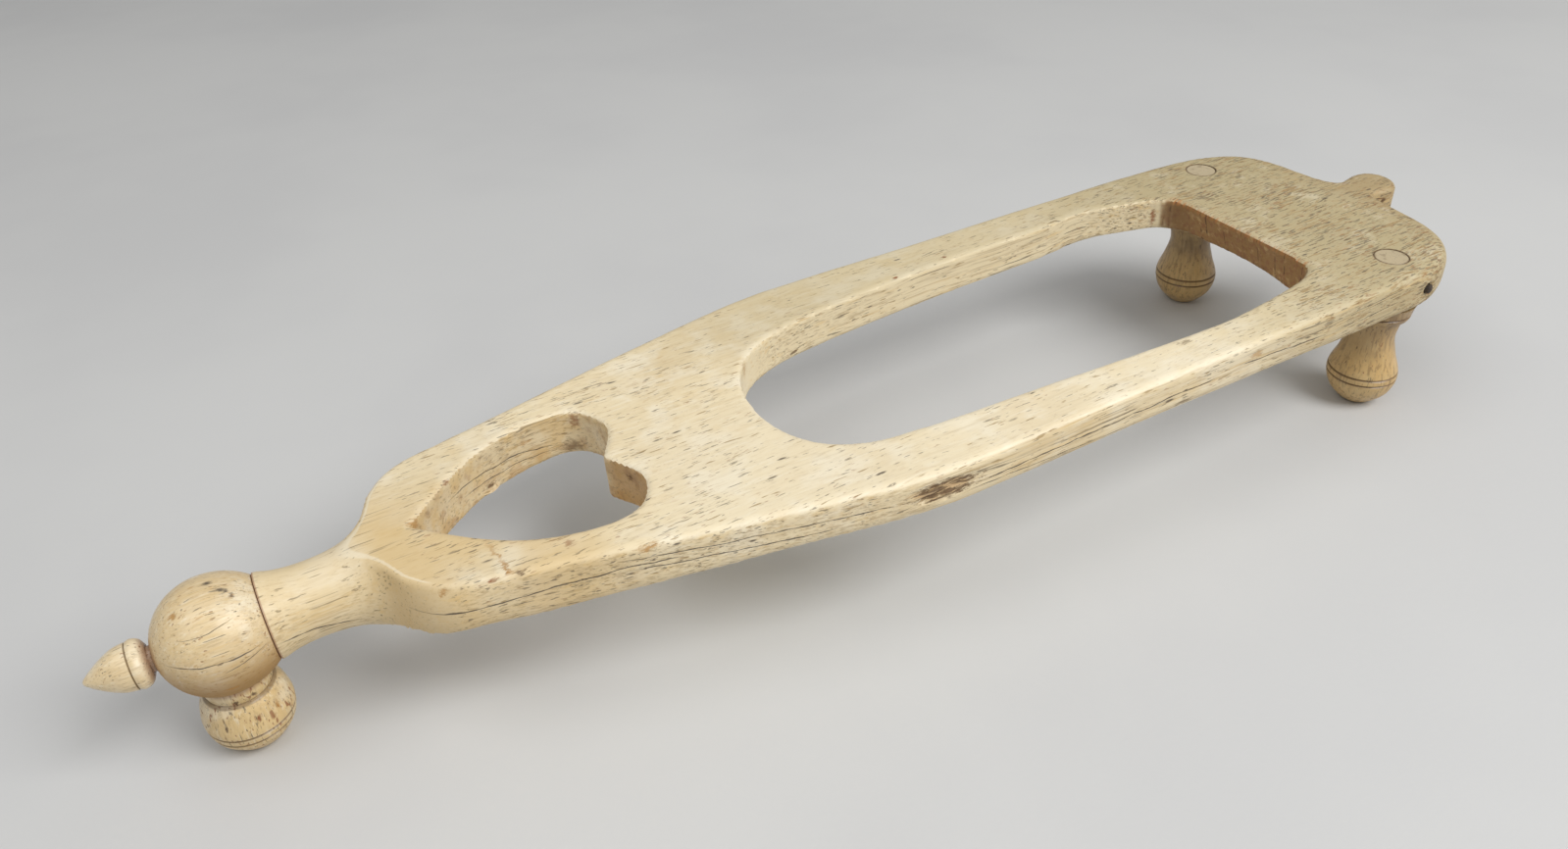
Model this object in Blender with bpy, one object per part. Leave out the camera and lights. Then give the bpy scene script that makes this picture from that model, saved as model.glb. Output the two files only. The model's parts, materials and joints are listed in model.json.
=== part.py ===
"""Three-footed stand of carved bone, pierced with a long window and a heart.

One sawn plank is turned at its narrow end into a round neck. The ball, the pointed finial and
the bun foot under the ball are turned pieces held by spigots. Two baluster feet carry the wide
end on tenons that come through to the top face, and a peg from the edge locks each tenon.

Sizes are millimetres in the plank's own frame: the origin lies between the two tenons on the
top face, +X runs along the plank to its lobed end and +Z is up. The feet stand upright on the
table, and the plank slopes down a little from the tall rear feet to the short front foot.
"""
from math import asin, copysign, cos, pi, radians, sin, sqrt

import bmesh
import bpy
from mathutils import Matrix, Vector
from mathutils.geometry import interpolate_bezier

MM = 0.001
GAP = 0.3

# Stance on the table
REAR_TOP = 44.2
FRONT_DROP = 6.0
REAR_FOOT_X = 138.7
TENON_HALF_SPACING = 34.0
FRONT_FOOT_X = -293.0
SLOPE = asin(FRONT_DROP / -FRONT_FOOT_X)

# Plank, with the outline as half widths: both sides alike, then each side's tail to the lobe's tip
PLANK_THICKNESS = 10.6
REAR_THICKNESS = 10.2
TOP_ARRIS = 1.5
LOWER_ARRIS = 2.4
RIM_ARRIS = 0.7
WORN_ARRIS = 3.6
WORN_START = (-14.0, -8.0)
WORN_FULL = (4.0, -30.0)
ARRIS_STEPS = 2
SIDES = (
    (-288.0, 25.0),
    (-262.0, 25.0),
    (-250.0, 25.4),
    (-240.0, 26.6),
    (-228.0, 28.8),
    (-198.0, 36.2),
    (-164.0, 43.5),
    (-153.0, 45.2),
    (-142.0, 45.8),
    (-90.0, 45.2),
    (-30.0, 44.9),
)
LEFT_TAIL = (
    (-9.0, 44.0),
    (3.0, 42.6),
    (10.0, 40.4),
    (16.0, 37.0),
    (20.0, 31.8),
    (22.0, 25.0),
    (22.8, 17.5),
    (23.5, 11.5),
    (24.7, 7.5),
    (26.6, 5.5),
    (29.6, 5.9),
    (33.6, 6.5),
    (37.8, 5.0),
)
RIGHT_TAIL = (
    (-9.0, 44.6),
    (3.0, 44.3),
    (10.0, 42.4),
    (17.0, 38.6),
    (22.4, 32.0),
    (24.5, 25.0),
    (25.3, 17.5),
    (25.7, 11.5),
    (26.3, 7.9),
    (27.6, 5.8),
    (30.0, 5.9),
    (33.8, 6.5),
    (37.9, 5.0),
)
LOBE_TIP = 40.1
TAIL_TWIST = 1.5
TAIL_TWIST_START = -80.0
TAIL_HALF_WIDTH = 45.0
UNDERSIDE = (
    (60.0, -REAR_THICKNESS),
    (-20.0, -REAR_THICKNESS),
    (-120.0, -PLANK_THICKNESS),
    (-180.0, -PLANK_THICKNESS),
    (-205.0, -11.6),
    (-229.0, -12.7),
    (-241.0, -12.5),
    (-251.0, -11.8),
    (-258.5, -13.7),
    (-263.0, -17.2),
    (-266.5, -20.5),
    (-290.0, -20.8),
)

# Window, sawn by hand a little askew, going round from the arch to the square end
WINDOW = (
    (-172.6, -3.0),
    (-170.6, -14.5),
    (-164.5, -23.0),
    (-153.0, -28.2),
    (-113.0, -30.9),
    (-60.0, -33.3),
    (-45.0, -32.0),
    (-30.0, -29.6),
    (-23.6, -27.4),
    (-20.6, -23.5),
    (-20.2, -10.0),
    (-20.2, 10.0),
    (-20.6, 23.0),
    (-23.6, 27.2),
    (-32.0, 30.4),
    (-47.0, 33.2),
    (-63.0, 31.9),
    (-110.0, 29.9),
    (-145.0, 26.3),
    (-161.0, 20.8),
    (-169.8, 10.5),
)
WINDOW_END_START = -21.5
WINDOW_END_HALF_WIDTH = 25.0
WINDOW_UNDERCUT = 3.4

# Heart, one side from its point to the notch between its lobes
HALF_HEART = (
    (-252.2, 0.0),
    (-241.0, 11.0),
    (-230.8, 18.0),
    (-217.0, 21.6),
    (-208.2, 19.3),
    (-204.5, 10.5),
    (-209.2, 0.0),
)

# Turned neck: distance along the plank and radius, spreading into the plank's shoulders
AXIS_Z = -9.4
NECK_END = -283.6
NECK_PROFILE = (
    (NECK_END, 9.3),
    (-279.5, 8.4),
    (-275.0, 8.05),
    (-270.0, 8.3),
    (-266.0, 9.1),
    (-262.6, 10.7),
    (-260.2, 13.2),
    (-257.6, 18.4),
    (-254.6, 22.2),
    (-250.0, 25.2),
    (-243.0, 27.6),
    (-232.0, 32.0),
)
BLANK_RADIUS = 70.0
BLANK_END = 60.0
SPIGOT_RADIUS = 5.0
SPIGOT_LENGTH = 12.0

# Ball, an egg whose fuller half meets the neck
BALL_X = -293.2
BALL_RADIUS = 12.4
BALL_NOSE = 12.2
BALL_REAR = 13.75

# Finial: distance in front of the ball's middle and radius
FINIAL_TIP = 24.7
FINIAL_SEAT = 11.6
FINIAL_NECK = 2.7
FINIAL_SPIGOT_RADIUS = 1.8
FINIAL_SPIGOT_LENGTH = 5.0
FINIAL_BEAD = (
    (12.6, 3.3),
    (13.4, 4.6),
    (14.8, 5.15),
    (15.6, 4.95),
)
FINIAL_LINE = (15.9, 4.6)
FINIAL_POINT = (
    (16.2, 4.85),
    (18.2, 4.55),
    (20.6, 3.45),
    (23.0, 1.85),
    (24.3, 0.75),
)

# Rear feet: height above the table and radius
TENON_RADIUS = 4.63
TENON_FLUSH = 0.1
SHOULDER_RADIUS = 9.2
SHOULDER_CLEARANCE = 0.65
REAR_LEAN = 1.2
COLLAR = (
    (31.0, 8.85),
    (28.4, 8.35),
    (27.5, 7.9),
)
COLLAR_LINE = 29.2
BALUSTER = (
    (26.9, 7.0),
    (24.8, 6.4),
    (20.8, 6.05),
    (15.6, 7.3),
    (9.6, 9.15),
    (4.6, 8.05),
    (1.2, 5.2),
    (0.0, 3.6),
)
REAR_GROOVES = (10.4, 8.6)

# Front foot: height above the table and radius
BUN_SEAT_HEIGHT = 18.6
BUN_TENON_RADIUS = 4.0
BUN_TENON_LENGTH = 8.0
BUN_RING = (
    (BUN_SEAT_HEIGHT, 7.1),
    (16.8, 7.1),
    (15.0, 6.6),
)
BUN = (
    (14.6, 7.2),
    (13.2, 8.1),
    (10.8, 8.8),
    (8.0, 9.2),
    (4.4, 8.5),
    (1.4, 6.4),
    (0.0, 4.9),
)
BUN_GROOVES = (7.1, 5.3)

# Incised lines
GROOVE_DEPTH = 0.35
GROOVE_HALF_WIDTH = 0.4

# Cross-pegs, driven in from the rounded shoulders of the plank
PEG_RADIUS = 1.45
PEG_LENGTH = 12.0
PEG_CROWN = 0.5
PEG_X = 3.6
LEFT_PEG_Y = 43.2
RIGHT_PEG_Y = -45.0
PEG_DEPTH_SHARE = 0.5
PEG_SKEW = radians(18.0)

# Facets round each turned piece
NECK_SEGMENTS = 44
FOOT_SEGMENTS = 28
SMALL_SEGMENTS = 20
HOLE_PHASE = radians(2.0)
SMOOTH_ANGLE = radians(35.0)

# How far a cutter runs past the piece that it cuts
OVERRUN = 5.0

# Colour and roughness of each material
BONE = ((0.76, 0.62, 0.37), 0.42)
BONE_TURNED = ((0.68, 0.52, 0.29), 0.38)
PEG_WOOD = ((0.035, 0.020, 0.012), 0.6)


def clear_scene():
    for obj in list(bpy.data.objects):
        bpy.data.objects.remove(obj)


def through(knots, steps, closed=False):
    """Points of a smooth curve through the knots, with handles a third of each stretch long."""
    points = [Vector((knot[0], knot[1], 0.0)) for knot in knots]
    count = len(points)
    directions = []
    for i in range(count):
        before = points[i - 1] if closed or i > 0 else points[0]
        after = points[(i + 1) % count] if closed or i < count - 1 else points[-1]
        directions.append((after - before).normalized())
    curve = []
    for i in range(count if closed else count - 1):
        start = points[i]
        end = points[(i + 1) % count]
        reach = (end - start).length / 3.0
        leave = start + directions[i] * reach
        arrive = end - directions[(i + 1) % count] * reach
        curve.extend(interpolate_bezier(start, leave, arrive, end, steps + 1)[:-1])
    if not closed:
        curve.append(points[-1])
    return [(point.x, point.y) for point in curve]


def offset(outline, distances):
    """The closed outline moved to its left, each corner by its own distance."""
    moved = []
    count = len(outline)
    for i in range(count):
        here = Vector(outline[i])
        into = (here - Vector(outline[i - 1])).normalized()
        out = (Vector(outline[(i + 1) % count]) - here).normalized()
        normal = Vector((-into.y - out.y, into.x + out.x)).normalized()
        stretch = max(normal.dot(Vector((-into.y, into.x))), 0.5)
        moved.append(tuple(here + normal * (distances[i] / stretch)))
    return moved


def make_object(name, bm, finish, stand):
    """A named piece with its own material, carried by the stand."""
    colour, roughness = finish
    obj = bpy.data.objects.new(name, finish_mesh(name, bm))
    material = bpy.data.materials.new(name)
    material.use_nodes = True
    shader = material.node_tree.nodes["Principled BSDF"]
    shader.inputs["Base Color"].default_value = (*colour, 1.0)
    shader.inputs["Roughness"].default_value = roughness
    shader.inputs["Metallic"].default_value = 0.0
    material.diffuse_color = (*colour, 1.0)
    obj.data.materials.append(material)
    bpy.context.scene.collection.objects.link(obj)
    obj.parent = stand
    return obj


def make_cutter(name, bm, stand):
    """A shape that only cuts its neighbours."""
    obj = bpy.data.objects.new(name, finish_mesh(name, bm))
    obj.hide_render = True
    obj.display_type = "WIRE"
    bpy.context.scene.collection.objects.link(obj)
    obj.parent = stand
    return obj


def finish_mesh(name, bm):
    bmesh.ops.recalc_face_normals(bm, faces=bm.faces[:])
    bmesh.ops.scale(bm, vec=Vector((MM, MM, MM)), verts=bm.verts[:])
    mesh = bpy.data.meshes.new(name)
    bm.to_mesh(mesh)
    bm.free()
    mesh.shade_smooth()
    mesh.set_sharp_from_angle(angle=SMOOTH_ANGLE)
    return mesh


def boolean(obj, cutter, operation="DIFFERENCE"):
    modifier = obj.modifiers.new(cutter.name, "BOOLEAN")
    modifier.operation = operation
    modifier.object = cutter
    modifier.solver = "EXACT"


def turned(profile, segments, phase=0.0):
    """A closed solid turned about Z from (height, radius) pairs whose ends lie on the axis."""
    bm = bmesh.new()
    across = Vector((cos(phase), sin(phase), 0.0))
    up = Vector((0.0, 0.0, 1.0))
    verts = [bm.verts.new(across * radius + up * height) for height, radius in profile]
    edges = [bm.edges.new(pair) for pair in zip(verts, verts[1:])]
    bmesh.ops.spin(
        bm,
        geom=verts + edges,
        cent=(0.0, 0.0, 0.0),
        axis=(0.0, 0.0, 1.0),
        angle=2.0 * pi,
        steps=segments,
        use_merge=True,
    )
    bmesh.ops.remove_doubles(bm, verts=bm.verts[:], dist=1e-4)
    return bm


def along_plank(bm, x):
    """Lay a turned piece down: its height becomes distance along the plank from x."""
    lay = Matrix.Translation((x, 0.0, AXIS_Z)) @ Matrix.Rotation(pi / 2.0, 4, "Y")
    bmesh.ops.transform(bm, matrix=lay, verts=bm.verts[:])
    return bm


def rod(radius, low, high, segments=FOOT_SEGMENTS):
    profile = ((low, 0.0), (low, radius), (high, radius), (high, 0.0))
    return turned(profile, segments, HOLE_PHASE)


def groove(profile, heights):
    """Cut shallow V lines into a (height, radius) profile that runs downwards."""
    cut = list(profile)
    for height in heights:
        edges = (height + GROOVE_HALF_WIDTH, height - GROOVE_HALF_WIDTH)
        lips = [(edge, radius_at(profile, edge)) for edge in edges]
        floor = (height, radius_at(profile, height) - GROOVE_DEPTH)
        kept = [point for point in cut if not edges[1] <= point[0] <= edges[0]]
        cut = sorted(kept + lips + [floor], reverse=True)
    return cut


def radius_at(profile, height):
    for (high, upper), (low, lower) in zip(profile, profile[1:]):
        if low <= height <= high:
            return upper + (lower - upper) * (high - height) / (high - low)
    raise ValueError("height outside the profile")


def bridge(bm, rings):
    """Quads between neighbouring rings of vertices."""
    for upper, lower in zip(rings, rings[1:]):
        for i in range(len(upper)):
            bm.faces.new((upper[i - 1], upper[i], lower[i], lower[i - 1]))


def ladder(bm, ring):
    """Close a ring that mirrors about the X axis with rungs straight across it."""
    count = len(ring)
    for i in range(count // 2):
        rung = (ring[i], ring[i + 1], ring[count - 2 - i], ring[count - 1 - i])
        bm.faces.new(tuple(dict.fromkeys(rung)))


def arris(radius):
    """Inset and depth of points round a softened edge, from the face to the side."""
    steps = [i / ARRIS_STEPS * pi / 2.0 for i in range(ARRIS_STEPS + 1)]
    return [(radius * (1.0 - sin(turn)), radius * (1.0 - cos(turn))) for turn in steps]


def underside_height(x, y):
    """Height of the lower face, which swells towards the neck and falls to the right at the tail."""
    along = min(max(1.0 - x / TAIL_TWIST_START, 0.0), 1.0)
    twist = TAIL_TWIST * along * y / TAIL_HALF_WIDTH
    curve = through(UNDERSIDE, 6)
    for (high_x, high_z), (low_x, low_z) in zip(curve, curve[1:]):
        if low_x <= x <= high_x:
            return high_z + (low_z - high_z) * (high_x - x) / (high_x - low_x) + twist
    raise ValueError("beyond the plank")


def top_arris_radius(x, y):
    """Radius of the upper arris, which is worn rounder over the right rear shoulder."""
    along = min(max((x - WORN_START[0]) / (WORN_FULL[0] - WORN_START[0]), 0.0), 1.0)
    across = min(max((y - WORN_START[1]) / (WORN_FULL[1] - WORN_START[1]), 0.0), 1.0)
    return TOP_ARRIS + (WORN_ARRIS - TOP_ARRIS) * along * across


def plank_blank():
    """The sawn plank before turning and piercing, with soft arrises above and below."""
    left = SIDES + LEFT_TAIL
    right = [(x, -y) for x, y in reversed(SIDES + RIGHT_TAIL)]
    outline = through([*left, (LOBE_TIP, 0.0), *right], 3)
    radii = [top_arris_radius(x, y) for x, y in outline]
    bm = bmesh.new()
    rings = []
    for inset, depth in arris(1.0):
        ring = offset(outline, [-inset * radius for radius in radii])
        rings.append([bm.verts.new((*point, -depth * radius)) for point, radius in zip(ring, radii)])
    for inset, rise in reversed(arris(LOWER_ARRIS)):
        ring = offset(outline, [-inset] * len(outline))
        rings.append([bm.verts.new((x, y, underside_height(x, y) + rise)) for x, y in ring])
    bridge(bm, rings)
    ladder(bm, rings[0])
    ladder(bm, rings[-1])
    return bm


def undercut(point):
    """The window's square end is sawn aslant, so that it leans back under the tail."""
    x, y = point
    share = 1.0 - (y / WINDOW_END_HALF_WIDTH) ** 2
    if x < WINDOW_END_START or share < 0.0:
        return point
    return (x + WINDOW_UNDERCUT * share, y)


def piercing(outline, lower_outline):
    """A cutter through the plank whose mouth spreads past both faces to soften the rims."""
    mouth, shoulder = Vector(arris(RIM_ARRIS)[0]), Vector(arris(RIM_ARRIS)[1])
    rim = [tuple(mouth * 2.0 - shoulder)] + arris(RIM_ARRIS)[1:]
    depths = [depth for spread, depth in rim]
    upper = [offset(outline, [-spread] * len(outline)) for spread, depth in rim]
    lower = [offset(lower_outline, [-spread] * len(outline)) for spread, depth in rim]
    clear = PLANK_THICKNESS
    bm = bmesh.new()
    rings = [[bm.verts.new((x, y, clear)) for x, y in upper[0]]]
    for ring, depth in zip(upper, depths):
        rings.append([bm.verts.new((x, y, -depth)) for x, y in ring])
    for ring, rise in zip(reversed(lower), reversed(depths)):
        rings.append([bm.verts.new((x, y, underside_height(x, y) + rise)) for x, y in ring])
    rings.append([bm.verts.new((x, y, -3.0 * clear)) for x, y in lower[0]])
    bridge(bm, rings)
    bm.faces.new(rings[0])
    bm.faces.new(rings[-1])
    return bm


def heart_outline():
    side = through(HALF_HEART, 5)
    return [(x, -y) for x, y in side[:-1]] + [(x, y) for x, y in reversed(side[1:])]


def neck_blank():
    """The turned neck with its spreading shoulders, and room beyond for the whole plank."""
    neck = through(NECK_PROFILE, 2)
    outer = ((neck[-1][0], BLANK_RADIUS), (BLANK_END, BLANK_RADIUS), (BLANK_END, 0.0))
    profile = [(NECK_END, 0.0)] + neck + list(outer)
    return along_plank(turned(profile, NECK_SEGMENTS), 0.0)


def ball_radius(x):
    half_length = BALL_NOSE if x < 0.0 else BALL_REAR
    return BALL_RADIUS * sqrt(max(1.0 - (x / half_length) ** 2, 0.0))


def ball_body():
    """The egg-shaped ball with the spigot that enters the neck."""
    face = NECK_END - GAP - BALL_X
    turns = [-BALL_NOSE * cos(pi / 2.0 * i / 9.0) for i in range(10)]
    turns += [face * i / 6.0 for i in range(1, 7)]
    profile = [(x, ball_radius(x)) for x in turns]
    profile += [(face, SPIGOT_RADIUS), (face + SPIGOT_LENGTH, SPIGOT_RADIUS)]
    profile.append((face + SPIGOT_LENGTH, 0.0))
    return along_plank(turned(profile, NECK_SEGMENTS), BALL_X)


def finial_body():
    """The pointed finial with a bead behind its incised line and a thin spigot."""
    spigot_end = FINIAL_SEAT - FINIAL_SPIGOT_LENGTH
    profile = [(FINIAL_TIP, 0.0)]
    profile += reversed(through(FINIAL_POINT, 2))
    profile.append(FINIAL_LINE)
    profile += reversed(through(FINIAL_BEAD, 2))
    profile += [(FINIAL_BEAD[0][0], FINIAL_NECK), (FINIAL_SEAT, FINIAL_NECK)]
    profile += [(FINIAL_SEAT, FINIAL_SPIGOT_RADIUS), (spigot_end, FINIAL_SPIGOT_RADIUS)]
    profile.append((spigot_end, 0.0))
    forward = [(-distance, radius) for distance, radius in profile]
    return along_plank(turned(forward, SMALL_SEGMENTS), BALL_X)


def finial_socket():
    """Recess in the ball's nose for the finial's neck and spigot."""
    floor = FINIAL_SEAT - FINIAL_SPIGOT_LENGTH - GAP
    steps = (
        (BALL_NOSE + OVERRUN, 0.0),
        (BALL_NOSE + OVERRUN, FINIAL_NECK + GAP),
        (FINIAL_SEAT - GAP, FINIAL_NECK + GAP),
        (FINIAL_SEAT - GAP, FINIAL_SPIGOT_RADIUS + GAP),
        (floor, FINIAL_SPIGOT_RADIUS + GAP),
        (floor, 0.0),
    )
    forward = [(-distance, radius) for distance, radius in steps]
    return along_plank(turned(forward, SMALL_SEGMENTS, HOLE_PHASE), BALL_X)


def shoulder_height(y):
    """Height at which a rear foot's collar meets the underside of the plank."""
    return REAR_TOP + underside_height(0.0, y) - SHOULDER_CLEARANCE


def rear_foot_body(shoulder):
    """Baluster foot with a collar under the plank, leaning out a little, and an upright tenon."""
    tenon_top = REAR_TOP - TENON_FLUSH
    profile = [(tenon_top, 0.0), (tenon_top, TENON_RADIUS), (shoulder, TENON_RADIUS)]
    profile += groove([(shoulder, SHOULDER_RADIUS), *COLLAR], [COLLAR_LINE])
    profile += groove(through(BALUSTER, 2), REAR_GROOVES)
    profile.append((0.0, 0.0))
    bm = turned(profile, FOOT_SEGMENTS)
    for vert in bm.verts:
        vert.co.x += REAR_LEAN * max(1.0 - vert.co.z / shoulder, 0.0)
    return bm


def bun_foot_body():
    """Squat foot under the ball, with a ring neck and a short tenon."""
    tenon_top = BUN_SEAT_HEIGHT + BUN_TENON_LENGTH
    profile = [(tenon_top, 0.0), (tenon_top, BUN_TENON_RADIUS), (BUN_SEAT_HEIGHT, BUN_TENON_RADIUS)]
    profile += through(BUN_RING, 2)
    profile += groove(through(BUN, 2), BUN_GROOVES)
    profile.append((0.0, 0.0))
    return turned(profile, FOOT_SEGMENTS)


def bun_socket():
    """Flat seat and socket under the ball for the bun foot."""
    seat = BUN_SEAT_HEIGHT + GAP
    roof = BUN_SEAT_HEIGHT + BUN_TENON_LENGTH + GAP
    steps = (
        (roof, 0.0),
        (roof, BUN_TENON_RADIUS + GAP),
        (seat, BUN_TENON_RADIUS + GAP),
        (seat, BUN_RING[0][1] + 2.0 * GAP),
        (0.0, BUN_RING[0][1] + 2.0 * GAP),
        (0.0, 0.0),
    )
    return turned(steps, FOOT_SEGMENTS, HOLE_PHASE)


def peg_body():
    """Peg from its outer end inwards, with the end's rim rounded off."""
    crown = (0.0, PEG_RADIUS - PEG_CROWN)
    rim = (PEG_CROWN, PEG_RADIUS)
    profile = ((0.0, 0.0), crown, rim, (PEG_LENGTH, PEG_RADIUS), (PEG_LENGTH, 0.0))
    return turned(profile, SMALL_SEGMENTS)


def set_peg(obj, y):
    """Point a peg or its hole from just outside the plank's edge towards the tenon."""
    side = copysign(1.0, y)
    z = PEG_DEPTH_SHARE * underside_height(PEG_X, y)
    obj.location = (PEG_X * MM, y * MM, z * MM)
    obj.rotation_euler = (side * pi / 2.0, 0.0, -side * PEG_SKEW)


def set_foot(obj, plank_x, y):
    """Stand a foot upright on the table below a point of the plank."""
    obj.parent = None
    obj.location = ((REAR_FOOT_X + plank_x * cos(SLOPE)) * MM, y * MM, 0.0)


def build():
    clear_scene()
    stand = bpy.data.objects.new("stand", None)
    stand.location = (REAR_FOOT_X * MM, 0.0, REAR_TOP * MM)
    stand.rotation_euler = (0.0, -SLOPE, 0.0)
    bpy.context.scene.collection.objects.link(stand)

    frame = make_object("frame", plank_blank(), BONE, stand)
    boolean(frame, make_cutter("neck_blank", neck_blank(), stand), "INTERSECT")
    window = through(WINDOW, 3, closed=True)
    window_saw = piercing(window, [undercut(point) for point in window])
    boolean(frame, make_cutter("window_hole", window_saw, stand))
    heart = heart_outline()
    boolean(frame, make_cutter("heart_hole", piercing(heart, heart), stand))
    socket_end = NECK_END + SPIGOT_LENGTH
    socket = along_plank(rod(SPIGOT_RADIUS + GAP, NECK_END - OVERRUN, socket_end), 0.0)
    boolean(frame, make_cutter("spigot_hole", socket, stand))

    ball = make_object("ball", ball_body(), BONE_TURNED, stand)
    boolean(ball, make_cutter("finial_hole", finial_socket(), stand))
    make_object("finial", finial_body(), BONE_TURNED, stand)

    front_foot = make_object("front_foot", bun_foot_body(), BONE_TURNED, stand)
    set_foot(front_foot, FRONT_FOOT_X, 0.0)
    bun_hole = make_cutter("bun_hole", bun_socket(), stand)
    set_foot(bun_hole, FRONT_FOOT_X, 0.0)
    boolean(ball, bun_hole)

    for name, peg_y in (("rear_left", LEFT_PEG_Y), ("rear_right", RIGHT_PEG_Y)):
        y = copysign(TENON_HALF_SPACING, peg_y)
        shoulder = shoulder_height(y)
        foot = make_object(name + "_foot", rear_foot_body(shoulder), BONE_TURNED, stand)
        set_foot(foot, 0.0, y)
        mortise_body = rod(TENON_RADIUS + GAP, shoulder - OVERRUN, REAR_TOP + OVERRUN)
        mortise = make_cutter(name + "_mortise", mortise_body, stand)
        set_foot(mortise, 0.0, y)
        boolean(frame, mortise)

        peg = make_object(name + "_peg", peg_body(), PEG_WOOD, stand)
        set_peg(peg, peg_y)
        hole_body = rod(PEG_RADIUS + GAP, -OVERRUN, PEG_LENGTH + GAP, SMALL_SEGMENTS)
        hole = make_cutter(name + "_peg_hole", hole_body, stand)
        set_peg(hole, peg_y)
        boolean(frame, hole)
        boolean(foot, hole)


build()
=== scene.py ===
"""Looks for a three-footed stand of carved bone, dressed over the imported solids.

Sizes are millimetres unless a name says otherwise. Most are in the plank's own frame: the origin
lies between the two rear tenons on the top face, +X runs along the plank to its lobed end and +Z
is up. Each foot has an upright frame of its own that starts on the table below its tenon.
"""
import json
from math import asin, ceil, cos, pi, radians, sin, sqrt

import bmesh
import bpy
import numpy as np
from mathutils import Matrix, Vector, noise
from mathutils.geometry import interpolate_bezier


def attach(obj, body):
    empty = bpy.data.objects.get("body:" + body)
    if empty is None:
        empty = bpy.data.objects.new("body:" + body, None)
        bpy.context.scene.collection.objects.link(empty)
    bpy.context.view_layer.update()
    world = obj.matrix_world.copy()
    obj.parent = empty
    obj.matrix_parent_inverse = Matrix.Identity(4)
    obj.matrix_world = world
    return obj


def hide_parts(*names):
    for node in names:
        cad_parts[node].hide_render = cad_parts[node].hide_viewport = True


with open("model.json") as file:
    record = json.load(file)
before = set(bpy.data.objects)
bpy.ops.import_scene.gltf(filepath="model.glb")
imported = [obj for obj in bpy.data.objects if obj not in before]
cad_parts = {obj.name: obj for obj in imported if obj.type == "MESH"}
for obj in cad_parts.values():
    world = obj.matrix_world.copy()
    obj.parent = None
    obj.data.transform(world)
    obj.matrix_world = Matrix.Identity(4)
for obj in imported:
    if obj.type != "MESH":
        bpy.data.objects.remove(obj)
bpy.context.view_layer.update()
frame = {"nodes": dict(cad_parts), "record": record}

MM = 0.001

# Photo's viewpoint in the plank's frame, its lens on a 36 mm wide sensor and how near it sees
CAMERA_PLACE = (-266.03, -205.57, 155.91)
CAMERA_YAW = radians(63.668)
CAMERA_PITCH = radians(35.774)
CAMERA_ROLL = radians(-4.161)
CAMERA_LENS = 27.247
CAMERA_SENSOR = 36.0
CAMERA_CLIP = 10.0

# Skin of the plank: an even grid of small faces, eased where the sawn walls have facets
SKIN_STEP = 0.75
WELD = 1e-4
RELAX = 0.5
ARRIS_RELAX = 0.11
RELAX_BACK = 1.04
RELAX_ROUNDS = 60
EDGE_BEND = 0.30
UNDULATION = 0.11
UNDULATION_SIZE = 19.0
RIPPLE = 0.05
RIPPLE_SIZE = 5.5

# Shoulders beside the neck, rounded into the plank's sides by hand: (x, distance from the middle)
SHOULDER_PLACE = (-252.0, 25.0)
SHOULDER_RADII = (16.0, 10.5)
SHOULDER_FADE = 1.5
SHOULDER_ROUNDS = 45

# Rear part of the window's left wall, which stands in a little: x, y, how wide and by how much
LEFT_WALL_X = (-85.0, -45.0)
LEFT_WALL_Y = 27.5
LEFT_WALL_REACH = (3.0, 8.5)
LEFT_WALL_SHIFT = -1.3

# Plugs that fill the mortises and peg holes and lengthen the neck while the skin is made
MORTISE_PLUG_RADIUS = 6.0
MORTISE_PLUG_DEPTH = 8.6
PEG_PLUG_RADIUS = 2.2
PEG_PLUG_SHORT = 1.7
NECK_PLUG_RADIUS = 9.35
NECK_PLUG_REACH = (-1.6, 1.0)
PLUG_SEGMENTS = 48

# Scar on the right hip, saw marks on the window's square end and a splinter under the heart
SCAR_PLACE = (-150.0, -45.3, -4.7)
SCAR_RADII = (11.0, 2.5, 2.9)
SCAR_DEPTH = 0.9
SCAR_EDGE = 2.0
SCAR_FIBRE = (4.5, 1.0, 0.9)
SCAR_SHARE = 0.35
SAWN_END = (-27.0, -12.0)
SAWN_HALF_WIDTH = 26.5
SAW_RIPPLE = 0.14
SAW_RIPPLE_WIDTH = 0.9
SAW_RIPPLE_HEIGHT = 7.0
SAW_RIPPLE_FACING = -0.5
NICK_DEPTH = 1.1
NICK_SIZE = 1.7
NICK_REACH = 1.6
NICK_SPARED = 0.05
NICK_FACING = -0.2
NICK_SEED = 3.0
SPLINTER_PLACE = (-231.6, 17.6, -11.4)
SPLINTER_RADII = (3.2, 2.2, 0.8)
SPLINTER_REACH = 1.0

# Turned pieces: how finely they are divided, how far from round they are and the seams between them
SEGMENTS = 112
PROFILE_STEP = 0.45
SMALL_STEPS = 6
POINT_STEPS = 8
BODY_STEPS = 10
OUT_OF_ROUND = 0.10
OUT_OF_ROUND_SIZE = 7.0
SHARP = radians(38.0)
SEAM = 0.12

# Neck and ball, turned on one axis: lengths of the ball are from its middle
AXIS_Z = -9.4
NECK_END = -283.6
SPIGOT_RADIUS = 5.0
SPIGOT_LENGTH = 12.0
BALL_X = -293.2
BALL_RADIUS = 12.4
BALL_NOSE = 12.2
BALL_REAR = 13.75
BALL_EDGE = 0.12
BALL_STEPS = 60

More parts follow.
